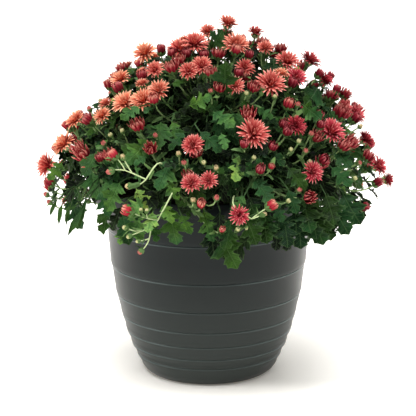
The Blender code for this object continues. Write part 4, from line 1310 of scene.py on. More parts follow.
# Half-open blooms and buds of the near side that the solids have no room for: distance to the right of the
# axis, height and diameter in millimetres, in the same upright plane as the open blooms
NEAR_SMALL = {
    "cup": (
        (-175, 322, 16), (-102, 352, 15), (-107, 394, 14), (-115, 383, 13), (-123, 374, 14), (15, 411, 14),
        (-35, 403, 14), (-44, 394, 15), (-13, 391, 14), (5, 388, 13), (16, 369, 14), (-88, 320, 16),
        (71, 425, 14), (93, 417, 14), (47, 381, 14), (59, 368, 14), (175, 359, 14), (53, 334, 16),
        (171, 334, 18), (189, 339, 16), (183, 296, 16), (173, 292, 15), (145, 269, 14), (205, 278, 14),
        (-165, 291, 16), (-159, 283, 17), (-125, 282, 14), (-15, 286, 15),
    ),
    "ball": (
        (-151, 331, 12), (-57, 417, 13), (-3, 409, 13), (-25, 411, 14), (-44, 413, 12), (-112, 368, 15),
        (79, 416, 12), (53, 409, 12), (108, 373, 14), (40, 386, 12), (141, 385, 12), (155, 381, 12),
        (164, 364, 13), (97, 320, 12), (142, 331, 12), (144, 320, 12), (47, 295, 12), (83, 292, 12),
        (67, 262, 13), (217, 244, 13), (200, 212, 12), (-137, 279, 12), (-202, 248, 13),
    ),
    "ember": ((103, 346, 14), (81, 266, 8), (18, 184, 12), (-9, 218, 13), (-25, 255, 14)),
    "small_open": (
        (-129, 351, 18), (-82, 391, 16), (-28, 431, 18), (-82, 376, 18), (94, 387, 20), (-155, 269, 14),
    ),
    "pink": (
        (-149, 343, 8), (5, 364, 8), (-66, 308, 8), (-132, 298, 8), (71, 368, 7), (115, 346, 8),
        (132, 308, 8), (125, 286, 8), (117, 235, 8), (33, 213, 8), (11, 226, 9), (-207, 232, 8),
        (-203, 222, 8), (-30, 272, 8),
    ),
    "green": (
        (-108, 314, 7), (-123, 309, 7), (50, 361, 7), (86, 356, 7), (130, 272, 7), (103, 221, 7),
        (106, 288, 7), (59, 278, 7), (38, 184, 7),
    ),
    "cream": ((11, 265, 8), (-37, 284, 8), (-19, 223, 8)),
}

# Leaves of the near side, from base to tip: distance to the right of the axis and height of both ends in
# millimetres, in the same plane, tone and share of the usual width. The tone is painted light and shade of
# each leaf's place: light at the left, dark at the lower right.
NEAR_LEAVES = (
    (10, 190, 34, 132, 0.40, 1.00), (-6, 210, 6, 168, 0.60, 1.00), (48, 203, 63, 164, 0.35, 1.20),
    (116, 205, 120, 158, 0.25, 1.20), (97, 199, 105, 162, 0.25, 1.20), (135, 212, 145, 164, 0.30, 1.20),
    (160, 218, 179, 177, 0.30, 1.20), (147, 206, 159, 169, 0.25, 1.20), (173, 231, 194, 190, 0.30, 1.20),
    (123, 225, 130, 180, 0.35, 1.20), (78, 205, 83, 174, 0.35, 1.20), (-155, 231, -168, 186, 0.45, 0.50),
    (-139, 236, -127, 205, 0.50, 1.00), (-193, 226, -205, 208, 0.45, 0.50),
    (-174, 225, -183, 195, 0.45, 0.50), (-158, 218, -179, 179, 0.45, 0.50),
    (-165, 221, -184, 205, 0.45, 0.50), (-186, 223, -195, 195, 0.40, 0.50), (-73, 195, -64, 170, 0.55, 1.00),
    (-110, 205, -101, 166, 0.40, 1.00), (-92, 239, -77, 212, 0.98, 1.00), (-84, 225, -101, 208, 0.92, 1.00),
    (-71, 208, -77, 183, 0.90, 1.00), (-110, 190, -113, 166, 0.85, 1.00), (-57, 218, -47, 195, 0.75, 1.00),
    (40, 281, 35, 249, 0.82, 1.00), (-10, 313, 18, 288, 0.45, 1.00), (-45, 279, -63, 239, 0.50, 1.00),
    (-54, 249, -38, 226, 0.60, 1.00), (-73, 303, -102, 273, 0.62, 1.00), (60, 251, 82, 220, 0.45, 1.00),
    (-113, 247, -131, 213, 0.65, 1.00), (-45, 326, -37, 299, 0.60, 1.00), (8, 338, 34, 322, 0.65, 1.00),
    (-23, 346, 4, 357, 0.62, 1.00), (24, 359, 20, 398, 0.38, 1.00), (6, 417, 18, 439, 0.35, 1.00),
    (64, 342, 83, 330, 0.55, 1.00), (158, 265, 183, 240, 0.55, 1.00), (103, 265, 125, 236, 0.40, 1.00),
    (-35, 205, -23, 179, 0.55, 1.00), (103, 236, 115, 205, 0.35, 1.00), (55, 217, 68, 191, 0.35, 1.20),
    (111, 220, 116, 177, 0.22, 1.20), (88, 210, 96, 171, 0.26, 1.20), (131, 216, 141, 174, 0.22, 1.20),
    (71, 208, 76, 166, 0.30, 1.20), (30, 200, 23, 156, 0.38, 1.00), (151, 229, 166, 192, 0.26, 1.20),
    (-141, 286, -159, 260, 0.50, 1.00), (-86, 346, -108, 330, 0.60, 1.00), (122, 346, 144, 330, 0.50, 1.00),
    (-29, 312, -48, 290, 0.50, 1.00), (76, 288, 97, 269, 0.40, 1.00), (-4, 275, -23, 256, 0.40, 1.00),
    (164, 288, 181, 265, 0.50, 1.00), (-186, 275, -202, 252, 0.50, 1.00), (-121, 288, -136, 262, 0.50, 1.00),
    (47, 229, 30, 205, 0.60, 1.00), (-20, 249, -4, 223, 0.40, 1.00), (84, 217, 98, 195, 0.30, 1.00),
)

# The kinds that are closed buds
BUD_KINDS = ("pink", "green", "cream")

# Kinds of small blooms: tone from 0 to 1, diameter at the far side in millimetres, ring of petals, ring of
# bracts and number of the petals' material
SMALL_KINDS = {
    "cup": (0.62, 15, "cup", "bracts", 0),
    "ball": (0.10, 13, "ball", "bracts", 0),
    "ember": (0.95, 13, "ball", "bracts", 0),
    "small_open": (0.2, 18, "open", "bracts", 2),
    "pink": (0.95, 8, "bud", "bud_bracts", 1),
    "green": (0.0, 7, "bud", "bud_bracts", 1),
    "cream": (0.3, 8, "bud", "bud_bracts", 1),
}

# Further small blooms and buds of the far side, how deep those of the near side may lie, and how far blooms
# lean towards the viewer
FAR_SMALL = 150
FAR_SMALL_KINDS = ("cup", "ball", "pink", "cup", "green", "ember", "pink", "ball", "cream", "small_open")
SMALL_DEPTHS = (0.0, -0.004, 0.004, -0.008, 0.010, -0.012, 0.016, 0.022, 0.028)
SMALL_UPRIGHT = 0.35
NEAR_SPACING = 0.8
FAR_SPACING = 0.9
VIEW_LEAN = 0.50
VIEW_LEAN_LOW_SHARE = 0.7
VIEW_LEAN_FROM = 0.33
VIEW_LEAN_SPAN = 0.08

# Further leaves: how many, their reach, length, spread, turn and spacing
MORE_LEAVES = 740
MORE_LEAF_TRIES = 5200
MORE_LEAF_REACHES = (0.50, 0.985)
MORE_LEAF_LENGTHS = (0.028, 0.044)
MORE_LEAF_SPANS = (0.85, 1.36, 1.36)
MORE_LEAF_DEEP_GROWTH = 1.35
MORE_LEAF_HIGH_SHARE = 0.62
MORE_LEAF_TURN = 0.9
MORE_LEAF_SPACING = 0.0085
STALK_LEAF_TRIES = 2

# Leaves read from the near side: how much deeper than the dome each may lie, how far their tips stand out,
# their bend, and the margin that all leaves keep from the object's box
NEAR_LEAF_DEPTHS = (0.012, 0.006, 0.020, 0.0, -0.006, -0.012, 0.030, 0.040, 0.050, -0.020)
NEAR_LEAF_RISE = 0.022
NEAR_LEAF_BEND = 0.12
BOX_MARGIN = 0.006

# Ways of a stalk: shares of a stem's length that it may start from, how much of that is chance, points along
# it, and its usual length, which goes before others
WAY_SHARES = (0.95, 0.85, 0.75, 0.65, 0.55, 0.45)
WAY_CHANCE = 0.08
WAY_STEPS = 7
USUAL_STALK = 0.035
LEAF_KNEE_SHARE = 0.3
LEAF_CLEARANCE = 0.0015
STALK_LEAF_CLEARANCE = 0.0005
FAR_SMALL_SPAN = 1.22
FAR_SMALL_REACHES = (0.90, 1.02)
MORE_LEAF_TOP = 0.97

# Tone of a leaf: the reach up to which it is in the dark, and how much further it is in full light. Then the
# least tone and its rise with the light, the share of chance and its rise, and the power of chance.
DARK_REACH = 0.70
LIGHT_REACH = 0.28
LEAF_TONES = (-0.36, 0.34, 0.15, 0.80, 1.7)

# A leaf's wave along its edge, arch across, fold along its midrib, sideways slant and width. The fold and the
# width have a least value and what chance may add.
WAVE_HEIGHT = 0.30
WAVE_TURNS = 15
LEAF_ARCH = 0.5
LEAF_FOLDS = (0.08, 0.42)
LEAF_SLANT = 0.16
LEAF_WIDTHS = (0.92, 0.2)

# Lengths of the small leaves that grow on the stalks of blooms
STALK_LEAF_LENGTHS = (0.014, 0.027)


# Pale young sprays at the near side: how deep they hang, their main stalk and their branches, as places in
# the upright plane, each branch with what stands at its end and its diameter in millimetres
SPRAYS = (
    (
        -0.198,
        ((-45, 234), (-54, 217), (-65, 197)),
        (
            (((-65, 197), (-80, 200), (-89, 203), (-95, 206)), "ember", 14),
            (((-82, 201), (-84, 204), (-85, 207)), "green", 6),
            (((-78, 200), (-79, 203), (-79, 206)), "green", 6),
            (((-65, 197), (-72, 188), (-84, 184), (-98, 178)), "green", 7),
            (((-84, 184), (-95, 183), (-103, 186)), "green", 7),
            (((-74, 186), (-76, 171), (-81, 162), (-84, 159)), "pink", 8),
            (((-76, 173), (-82, 171), (-87, 170)), "green", 6),
        ),
    ),
    (
        -0.186,
        ((-62, 276), (-71, 265), (-79, 251)),
        (
            (((-79, 251), (-97, 260), (-112, 266), (-119, 264)), "pink", 10),
            (((-97, 260), (-103, 270), (-106, 276)), "cream", 8),
            (((-79, 251), (-87, 244), (-96, 243)), "cream", 9),
            (((-106, 264), (-110, 272), (-115, 278)), "ember", 12),
        ),
    ),
    (
        -0.205,
        ((30, 215), (42, 205), (56, 198)),
        (
            (((56, 198), (66, 206), (74, 211)), "ember", 13),
            (((56, 198), (62, 200), (67, 202)), "cream", 8),
            (((42, 205), (46, 196), (48, 190)), "green", 6),
        ),
    ),
)


# Blooms under this height take a redder, darker tone, but for those at the left
LOW_BLOOM = 0.34
LOW_BLOOM_FROM = -0.12
LOW_BLOOM_TONE = 0.5

# Tone of an open bloom in the middle, how far to the right it rises by 1, and how much of it is chance. The
# tone of small blooms falls to the right.
MIDDLE_TONE = 0.32
TONE_REACH = 0.24
TONE_CHANCE = 0.5
SMALL_TONE_FALL = 1.3

# Shares of a stem's length that a spray may start from
SPRAY_ROOT_SHARES = (0.55, 0.60, 0.65, 0.70, 0.75)


# The drum that stands for a bloom: its radius, bottom and top as shares of the bloom's radius
DRUM = (0.95, -0.40, 0.70)


class Crowd:
    """The blooms and small blooms that further leaves and stalks keep clear of, each as a short drum."""

    def __init__(self):
        self.places = np.zeros((0, 3))
        self.facings = np.zeros((0, 3))
        self.radii = np.zeros(0)

    def take(self, place, facing, radius):
        """Adds a bloom."""
        self.places = np.vstack([self.places, np.array(place)])
        self.facings = np.vstack([self.facings, np.array(facing)])
        self.radii = np.append(self.radii, radius)

    def clear(self, points, margin):
        """True when no point lies inside a bloom."""
        away = np.array(points)[:, None] - self.places[None]
        high = (away * self.facings[None]).sum(axis=2)
        out = np.sqrt(np.maximum((away**2).sum(axis=2) - high**2, 0))
        wide, low, top = DRUM
        inside = (out < self.radii * wide + margin) & (high > low * self.radii - margin)
        return not (inside & (high < top * self.radii + margin)).any()


def rooted_stalk(stems, crowd, end, facing, chance):
    """A stalk from a near stem to a point, past the blooms where there is a way."""
    direction = (end - HEART).normalized()
    near = sorted(stems, key=lambda stem: -stem["direction"].dot(direction))[:3]
    ways = []
    for stem in near:
        for share in WAY_SHARES:
            root = stem_point(stem, share - WAY_CHANCE * chance.random())
            knee = end - facing * (STALK_KNEE_SHARE * (end - root).length)
            path = [root, knee, end]
            middle = bowed(path, WAY_STEPS)[1:5]
            blocked = 0 if crowd.clear(middle, LEAF_CLEARANCE) and clear_of_pot(path) else 1
            turned_back = 0 if (end - root).normalized().dot(facing) > 0.0 else 1
            unlike = abs((end - root).length - USUAL_STALK)
            ways.append((blocked * 2 + turned_back, unlike, len(ways), path, stem["name"]))
    return min(ways)[3:]


def leaf_stalk(stems, crowd, leaf, chance):
    """The path of a leaf's stalk, which ends in line with its blade, and the name of its stem."""
    base = leaf["base"]
    path, stem = rooted_stalk(stems, crowd, base, (base - HEART).normalized(), chance)
    path[1] = base - leaf["axis"] * (LEAF_KNEE_SHARE * (base - path[0]).length)
    return path, stem


def more_small(stems, crowd, draw, chance):
    """Further half-open blooms and buds: those read from the near side, then a spread over the far side."""
    laid = []

    def lay(place, kind, radius):
        facing = (bloom_facing(place, draw) + UP * SMALL_UPRIGHT).normalized()
        path, stem = rooted_stalk(stems, crowd, place - facing * radius, facing, chance)
        crowd.take(place, facing, radius)
        found = {"kind": kind, "place": place, "facing": facing, "radius": radius}
        laid.append({**found, "path": path, "stem": stem})

    for kind, places in NEAR_SMALL.items():
        for aside_mm, high_mm, diameter_mm in places:
            radius = diameter_mm / 2000
            first = seen_place(aside_mm, high_mm).y
            for deeper in SMALL_DEPTHS:
                place = seen_at_depth(aside_mm, high_mm, first + deeper)
                if crowd.clear([place], NEAR_SPACING * radius):
                    lay(place, kind, radius)
                    break
    count = 0
    for index in range(6 * FAR_SMALL):
        if count == FAR_SMALL:
            break
        direction = spread_direction(index, 1.0, FAR_SMALL_SPAN)
        if direction.y < 0.0:
            continue
        kind = FAR_SMALL_KINDS[count % len(FAR_SMALL_KINDS)]
        radius = SMALL_KINDS[kind][1] / 2000
        place = HEART + direction * (dome_radius(direction) * draw.uniform(*FAR_SMALL_REACHES))
        if not under_seen_top(place, radius):
            continue
        if clear_of_pot([place, place]) and crowd.clear([place], FAR_SPACING * radius):
            lay(place, kind, radius)
            count += 1
    return laid


def lay_sprays(stems):
    """The pale sprays, each from the nearest point of the stem that it belongs to."""
    sprays = []
    for depth, main, branches in SPRAYS:
        main = [seen_at_depth(aside, high, depth) for aside, high in main]
        stem = stem_of(stems, main[0])
        roots = [stem_point(stem, share) for share in SPRAY_ROOT_SHARES]
        root = min(roots, key=lambda point: (point - main[0]).length)
        laid = []
        for places, kind, diameter_mm in branches:
            path = [seen_at_depth(aside, high, depth) for aside, high in places]
            laid.append({"path": path, "kind": kind, "radius": diameter_mm / 2000})
        sprays.append({"stem": stem["name"], "main": [root, *main], "branches": laid})
    return sprays


def more_leaves(stems, crowd, leaves, draw, chance):
    """Further leaves between the blooms and deeper in the dome, each with a stalk from a near stem."""
    laid = []
    middles = np.array([leaf["place"] for leaf in leaves])
    for index in range(MORE_LEAF_TRIES):
        if len(laid) == MORE_LEAVES:
            break
        out = spread_direction(index, MORE_LEAF_TOP, MORE_LEAF_SPANS[index % 3])
        reach = draw.uniform(*MORE_LEAF_REACHES)
        deep = (MORE_LEAF_REACHES[1] - reach) / (MORE_LEAF_REACHES[1] - MORE_LEAF_REACHES[0])
        smaller = (1 - MORE_LEAF_HIGH_SHARE) * clamped(out.z / 0.8)
        growth = (1 - smaller) * (1 + (MORE_LEAF_DEEP_GROWTH - 1) * deep)
        length = draw.uniform(*MORE_LEAF_LENGTHS) * growth
        blade = leaf_blade(out, length, draw)
        turn = draw.uniform(-MORE_LEAF_TURN, MORE_LEAF_TURN)
        blade["normal"] = blade["normal"] * math.cos(turn) + leaf_side(blade) * math.sin(turn)
        place = HEART + out * (dome_radius(out) * reach)
        base = blade["base"] + (place - blade["place"])
        blade = {**blade, "place": place, "base": base}
        if (((middles - np.array(place)) ** 2).sum(axis=1) < MORE_LEAF_SPACING**2).any():
            continue
        points = blade_points(blade)
        if not blade_fits(blade) or not inside_box(points) or not crowd.clear(points, LEAF_CLEARANCE):
            continue
        path, stem = leaf_stalk(stems, crowd, blade, chance)
        if not clear_of_pot(bowed(path, WAY_STEPS)):
            continue
        laid.append({**blade, "stem": stem, "path": path, "tone": leaf_tone(reach, chance)})
        middles = np.vstack([middles, np.array(place)])
    return laid


def leaf_tone(reach, chance):
    """Tone of a leaf: painted shade, dark deep in the plant and lighter towards its outside."""
    least, rise, least_chance, chance_rise, power = LEAF_TONES
    light = clamped((reach - DARK_REACH) / LIGHT_REACH)
    return least + rise * light + (least_chance + chance_rise * light) * chance.random() ** power


def inside_box(points):
    """True when no point reaches out of the object's box."""
    low, high = CAD_BOX
    points = np.array(points)
    return bool((points > np.array(low) + BOX_MARGIN).all() and (points < np.array(high) - BOX_MARGIN).all())


def near_leaves(stems, crowd, draw, chance):
    """The leaves read from the near side, each as near as it has to be to clear the pot."""
    laid = []
    for base_aside, base_high, tip_aside, tip_high, tone, wide in NEAR_LEAVES:
        first = seen_place(base_aside, base_high).y
        for deeper in NEAR_LEAF_DEPTHS:
            base = seen_at_depth(base_aside, base_high, first + deeper)
            tip = seen_at_depth(tip_aside, tip_high, first + deeper - NEAR_LEAF_RISE * (0.4 + draw.random()))
            axis = (tip - base).normalized()
            normal = Vector((0.0, -1.0, 0.55)) + random_direction(draw) * 0.60
            normal = (normal - axis * normal.dot(axis)).normalized()
            length = (tip - base).length
            leaf = {"base": base, "axis": axis, "normal": normal, "length": length, "tone": tone}
            leaf |= {"wide": wide, "place": base + axis * (0.5 * length), "bend": NEAR_LEAF_BEND}
            points = blade_points(leaf)
            if all(map(clear_of_pot, blade_lines(leaf))) and crowd.clear(points, 0.0) and inside_box(points):
                break
        else:
            continue
        path, stem = leaf_stalk(stems, crowd, leaf, chance)
        laid.append({**leaf, "stem": stem, "path": path})
    return laid


def leaned_to_view(place, facing):
    """Facing of a bloom, leaned towards the near side if it stands there, most of all in the upper part."""
    high = clamped((place.z - VIEW_LEAN_FROM) / VIEW_LEAN_SPAN)
    near = clamped((VIEW_LEAN_SPAN - place.y) / VIEW_LEAN_SPAN)
    lean = VIEW_LEAN * (VIEW_LEAN_LOW_SHARE + (1 - VIEW_LEAN_LOW_SHARE) * high) * near
    return (facing - Vector((0.0, lean, 0.0))).normalized()


def stalk_leaves(stalks, crowd, draw):
    """Small lobed leaves that grow on the stalks of the blooms."""
    laid = []
    for stalk in stalks:
        centre = bowed(stalk["path"], 11)
        for _ in range(STALK_LEAF_TRIES):
            step = draw.randrange(2, 10)
            along = (centre[step] - centre[step - 1]).normalized()
            sideways = random_direction(draw)
            sideways = (sideways - along * sideways.dot(along)).normalized()
            axis = (along * draw.uniform(0.2, 0.9) + sideways).normalized()
            normal = (along - axis * along.dot(axis)).normalized()
            length = draw.uniform(*STALK_LEAF_LENGTHS)
            base = centre[step] + axis * 0.003
            leaf = {"base": base, "axis": axis, "normal": normal, "length": length, "stem": stalk["stem"]}
            leaf["place"] = base + axis * (0.5 * length)
            leaf["tone"] = draw.uniform(-0.05, 0.55)
            points = blade_points(leaf)
            if not clear_of_pot(points) or not all(map(under_seen_top, points)):
                continue
            if inside_box(points) and crowd.clear(points, STALK_LEAF_CLEARANCE):
                leaf["path"] = [centre[step], centre[step].lerp(base, 0.5), base]
                laid.append(leaf)
    return laid


PLANT = {}


def plant():
    """The layout of the whole plant, worked out once: the solids' own and the finer pieces between them."""
    if not PLANT:
        stems, groups, small, leaves = lay_out()
        crowd = Crowd()
        for group in groups:
            for bloom, stalk in zip(group["blooms"], group["stalks"]):
                bloom["facing"] = leaned_to_view(bloom["place"], bloom["facing"])
                stalk["end"] = bloom["place"] - bloom["facing"] * (bloom["place"] - stalk["end"]).length
                crowd.take(bloom["place"], bloom["facing"], bloom["radius"])
        for stalk in small:
            radius = HALF_OPEN_RADIUS if stalk["kind"] == "half_open" else BUD_RADIUS
            crowd.take(stalk["place"], stalk["facing"], radius)
        draw = random.Random(SEED + 1)
        chance = np.random.default_rng(SEED)
        further = more_small(stems, crowd, draw, chance)
        PLANT.update(stems=stems, groups=groups, small=small, leaves=leaves, further=further)
        stalks = [stalk for group in groups for stalk in group["stalks"]] + small + further
        PLANT["more_leaves"] = more_leaves(stems, crowd, leaves, draw, chance)
        PLANT["more_leaves"] += near_leaves(stems, crowd, draw, chance) + stalk_leaves(stalks, crowd, draw)
        PLANT["sprays"] = lay_sprays(stems)
        PLANT["chance"] = chance
        PLANT["shapes"] = Templates()
    return PLANT


def add_node(tree, kind, inputs=(), **settings):
    """Adds a shader node with its settings. An input is a value, a hex colour, a node or an output."""
    made = tree.nodes.new(f"ShaderNode{kind}")
    for name, value in settings.items():
        if name == "stops":
            elements = made.color_ramp.elements
            while len(elements) < len(value):
                elements.new(0.5)
            for element, (position, code) in zip(elements, value):
                element.position = position
                element.color = (*linear(code), 1.0)
        else:
            setattr(made, name, value)
    for place, value in inputs.items() if isinstance(inputs, dict) else enumerate(inputs):
        if isinstance(value, str):
            value = (*linear(value), 1.0)
        if isinstance(value, bpy.types.Node):
            value = next(output for output in value.outputs if output.enabled)
        if isinstance(value, bpy.types.NodeSocket):
            tree.links.new(value, made.inputs[place])
        else:
            made.inputs[place].default_value = value
    return made


def new_material(name):
    """An empty node material and its tree."""
    material = bpy.data.materials.new(name)
    material.use_nodes = True
    material.node_tree.nodes.clear()
    return material, material.node_tree


def close_material(tree, colour, roughness, bump, ior, specular=0.5, glow=0.0):
    """Ends a material in a Principled shader."""
    sockets = {"Base Color": colour, "Roughness": roughness, "IOR": ior, "Metallic": 0.0}
    sockets |= {"Specular IOR Level": specular, "Emission Strength": glow, "Emission Color": GLOW_COLOUR}
    if bump is not None:
        sockets["Normal"] = bump
    add_node(tree, "OutputMaterial", {"Surface": add_node(tree, "BsdfPrincipled", sockets)})


def mixed_in(tree, coloured, layers):
    """Colour with further colours over it, each given with its share."""
    for share, colour in layers:
        coloured = add_node(tree, "Mix", {0: share, 6: coloured, 7: colour}, data_type="RGBA")
    return coloured


# Warm tint of the light that the floor gives off, a painted glow that tints the shadows round the pot cream
GLOW_COLOUR = (1.0, 0.94, 0.84, 1.0)

# Petals: colours from root to tip at tone 0 and at tone 1, colour of the underside, its share and roughness
PETALS = {
    # Salmon coral: crimson at the root, coral along the blade and a pale peach tip
    "coral chrysanthemum petal": (
        ((0.0, "570610"), (0.28, "9c2420"), (0.52, "c4533d"), (0.76, "d57f60"), (1.0, "eab795")),
        ((0.0, "35020b"), (0.34, "7a0f20"), (0.66, "a32238"), (0.86, "bd4c54"), (1.0, "d8908a")),
        ("c57c67", 0.20, 0.55),
    ),
    # Rose crimson: dark throat, deep rose blade and a paler rim at the tip
    "crimson chrysanthemum petal": (
        ((0.0, "4e050e"), (0.30, "93191f"), (0.58, "b93c3a"), (0.82, "cc6c5c"), (1.0, "e3a08a")),
        ((0.0, "280107"), (0.40, "5f0717"), (0.74, "881426"), (0.90, "a4343e"), (1.0, "c46465")),
        ("b45c5b", 0.25, 0.55),
    ),
    # Half-open blooms: maroon velvet at tone 0, glowing red at tone 1, lighter along the tips
    "half-open maroon petal": (
        ((0.0, "1f0206"), (0.45, "47050f"), (0.78, "74101f"), (1.0, "bb6467")),
        ((0.0, "45050c"), (0.40, "840f22"), (0.72, "aa3038"), (1.0, "dd9984")),
        ("8b303c", 0.20, 0.60),
    ),
    # Closed buds: green to cream at tone 0, blushing to deep pink at tone 1
    "chrysanthemum bud petal": (
        ((0.0, "72874b"), (0.50, "9ba266"), (1.0, "c1bd8d")),
        ((0.0, "989a63"), (0.40, "b98770"), (0.70, "aa5251"), (1.0, "982b38")),
        ("bda788", 0.10, 0.50),
    ),
}


def petal_material(name):
    """Petals with fine lengthwise streaks, in the colours that PETALS gives for that name."""
    first, second, (pale, under_share, roughness) = PETALS[name]
    material, tree = new_material(name)
    look = add_node(tree, "Attribute", attribute_name="look")
    root_to_tip, tone, under = add_node(tree, "SeparateColor", [look.outputs["Color"]]).outputs
    luck = look.outputs["Alpha"]
    across, along, _ = add_node(tree, "SeparateXYZ", [add_node(tree, "UVMap", uv_map="place")]).outputs
    shifted = add_node(tree, "Math", [luck, 40.0, across], operation="MULTIPLY_ADD")
    spot = add_node(tree, "CombineXYZ", [shifted, along])
    stretched = add_node(tree, "VectorMath", [spot, (7.0, 1.3, 1.0)], operation="MULTIPLY")
    streaks = add_node(tree, "TexNoise", {"Vector": stretched, "Scale": 1.0, "Detail": 2.0})
    streaked = add_node(tree, "Math", [streaks, 0.30, root_to_tip], operation="MULTIPLY_ADD")
    lucky = add_node(tree, "Math", [luck, 0.16, streaked], operation="MULTIPLY_ADD")
    level = add_node(tree, "Math", [lucky, 0.23], operation="SUBTRACT")
    ramps = [add_node(tree, "ValToRGB", [level], stops=row) for row in (first, second)]
    below = add_node(tree, "Math", [under, under_share], operation="MULTIPLY")
    coloured = mixed_in(tree, ramps[0], ((tone, ramps[1]), (below, pale)))
    bump = add_node(tree, "Bump", {"Height": streaks, "Strength": 0.5, "Distance": 0.0003})
    close_material(tree, coloured, roughness, bump, 1.40, 0.10)
    return material


def leaf_material():
    """Chrysanthemum leaf: matte green with pale sunken veins, a paler edge that is a painted rim highlight,
    and a grey-green underside.
    """
    material, tree = new_material("chrysanthemum leaf")
    look = add_node(tree, "Attribute", attribute_name="look")
    _, tone, under = add_node(tree, "SeparateColor", [look.outputs["Color"]]).outputs
    across, along, _ = add_node(tree, "SeparateXYZ", [add_node(tree, "UVMap", uv_map="place")]).outputs
    centred = add_node(tree, "Math", [across, 0.5], operation="SUBTRACT")
    aside = add_node(tree, "Math", [centred], operation="ABSOLUTE")
    slanted = add_node(tree, "Math", [aside, -0.95, along], operation="MULTIPLY_ADD")
    repeated = add_node(tree, "Math", [slanted, 8.0], operation="MULTIPLY")
    saw = add_node(tree, "Math", [repeated, 0.5], operation="PINGPONG")
    side_vein = add_node(tree, "MapRange", [saw, 0.0, 0.10, 1.0, 0.0])
    midrib = add_node(tree, "MapRange", [aside, 0.004, 0.020, 1.0, 0.0])
    vein = add_node(tree, "Math", [side_vein, midrib], operation="MAXIMUM")
    spot = add_node(tree, "TexCoord").outputs["Object"]
    mottle = add_node(tree, "TexNoise", {"Vector": spot, "Scale": 140.0, "Detail": 3.0})
    patches = add_node(tree, "TexNoise", {"Vector": spot, "Scale": 22.0, "Detail": 1.0})
    toned = add_node(tree, "Math", [patches, 0.5, tone], operation="MULTIPLY_ADD")
    drawn = add_node(tree, "Math", [mottle, 0.42, toned], operation="MULTIPLY_ADD")
    level = add_node(tree, "Math", [drawn, 0.46], operation="SUBTRACT")
    cool = ((0.0, "050e06"), (0.25, "0e2511"), (0.55, "244724"), (0.82, "4e783d"), (1.0, "8aa856"))
    warm = ((0.0, "060d03"), (0.25, "122408"), (0.55, "2c4918"), (0.82, "5c7f2e"), (1.0, "9aae4c"))
    greens = [add_node(tree, "ValToRGB", [level], stops=row) for row in (cool, warm)]
    hue = add_node(tree, "TexNoise", {"Vector": spot, "Scale": 16.0, "Detail": 0.0})
    warmth = add_node(tree, "MapRange", [hue, 0.38, 0.58])
    veined = add_node(tree, "Math", [vein, 0.15], operation="MULTIPLY")
    # Painted highlight: the leaf's edge is mixed paler, standing in for rim light on its margin
    edge = add_node(tree, "MapRange", [look.outputs["Alpha"], 0.80, 1.0, 0.0, 0.16])
    below = add_node(tree, "MapRange", [under, 0.5, 1.0, 0.0, 0.16])
    layers = ((warmth, greens[1]), (veined, "6a8a55"), (edge, "75955c"), (below, "526e4f"))
    height = add_node(tree, "Math", [vein, -0.8, mottle], operation="MULTIPLY_ADD")
    bump = add_node(tree, "Bump", {"Height": height, "Strength": 0.9, "Distance": 0.0011})
    close_material(tree, mixed_in(tree, greens[0], layers), 0.46, bump, 1.42, 0.07)
    return material


def stalk_material():
    """Stalks, stems and calyx bracts: yellow-green, pale at high tones, darker and browner at low ones."""
    material, tree = new_material("chrysanthemum stalk")
    look = add_node(tree, "Attribute", attribute_name="look")
    tone = add_node(tree, "SeparateColor", [look.outputs["Color"]]).outputs[1]
    spot = add_node(tree, "TexCoord").outputs["Object"]
    mottle = add_node(tree, "TexNoise", {"Vector": spot, "Scale": 260.0, "Detail": 3.0})
    level = add_node(tree, "Math", [mottle, 0.35, tone], operation="MULTIPLY_ADD")
    greens = ((0.0, "262817"), (0.35, "324b2a"), (0.70, "67854c"), (1.0, "b6c592"))
    green = add_node(tree, "ValToRGB", [level], stops=greens)
    bump = add_node(tree, "Bump", {"Height": mottle, "Strength": 0.4, "Distance": 0.0003})
    close_material(tree, green, 0.50, bump, 1.42, 0.10)
    return material


def plastic_material():
    """Moulded polypropylene: satin charcoal, faintly green, mixed paler towards the foot as painted light
    from the white floor, with a pale painted highlight along the ridges of its tiers.
    """
    settings = bpy.context.scene.chrysanthemum_pot
    material, tree = new_material("charcoal polypropylene")
    spot = add_node(tree, "TexCoord").outputs["Object"]
    grain = add_node(tree, "TexNoise", {"Vector": spot, "Scale": 900.0, "Detail": 2.0})
    marks = add_node(tree, "TexNoise", {"Vector": spot, "Scale": 18.0, "Detail": 5.0})
    right, _, high = add_node(tree, "SeparateXYZ", [spot]).outputs
    # Painted light: the plastic is mixed paler (353a38) towards the foot, standing in for light bounced up
    # from the white floor
    low = add_node(tree, "MapRange", [high, 0.01, 0.17, 1.0, 0.0])
    aside = add_node(tree, "Math", [right], operation="ABSOLUTE")
    # Painted highlight on the ridges of the tiers: a quarter of its strength at the front and back, full at
    # the left and right sides
    side_highlight = add_node(tree, "MapRange", [aside, 0.02, 0.10, 0.25, 1.0])
    edge = add_node(tree, "Attribute", attribute_name="ridge").outputs["Fac"]
    ridge = add_node(tree, "Math", [edge, side_highlight], operation="MULTIPLY")
    tints = settings.plastic_dark, settings.plastic_pale, settings.plastic_highlight
    dark, pale, highlight_tint = [(*tint, 1.0) for tint in tints]
    # Over the plastic: random paler marks, the painted floor light towards the foot and the painted ridge
    # highlight
    coloured = mixed_in(tree, dark, ((marks, pale), (low, "353a38"), (ridge, highlight_tint)))
    worn = add_node(tree, "MapRange", [marks, 0.3, 0.7, 0.30, 0.40])
    rough = add_node(tree, "Math", [ridge, -0.20, worn], operation="MULTIPLY_ADD")
    bump = add_node(tree, "Bump", {"Height": grain, "Strength": 0.25, "Distance": 0.0001})
    close_material(tree, coloured, rough, bump, 1.49, 0.15)
    return material


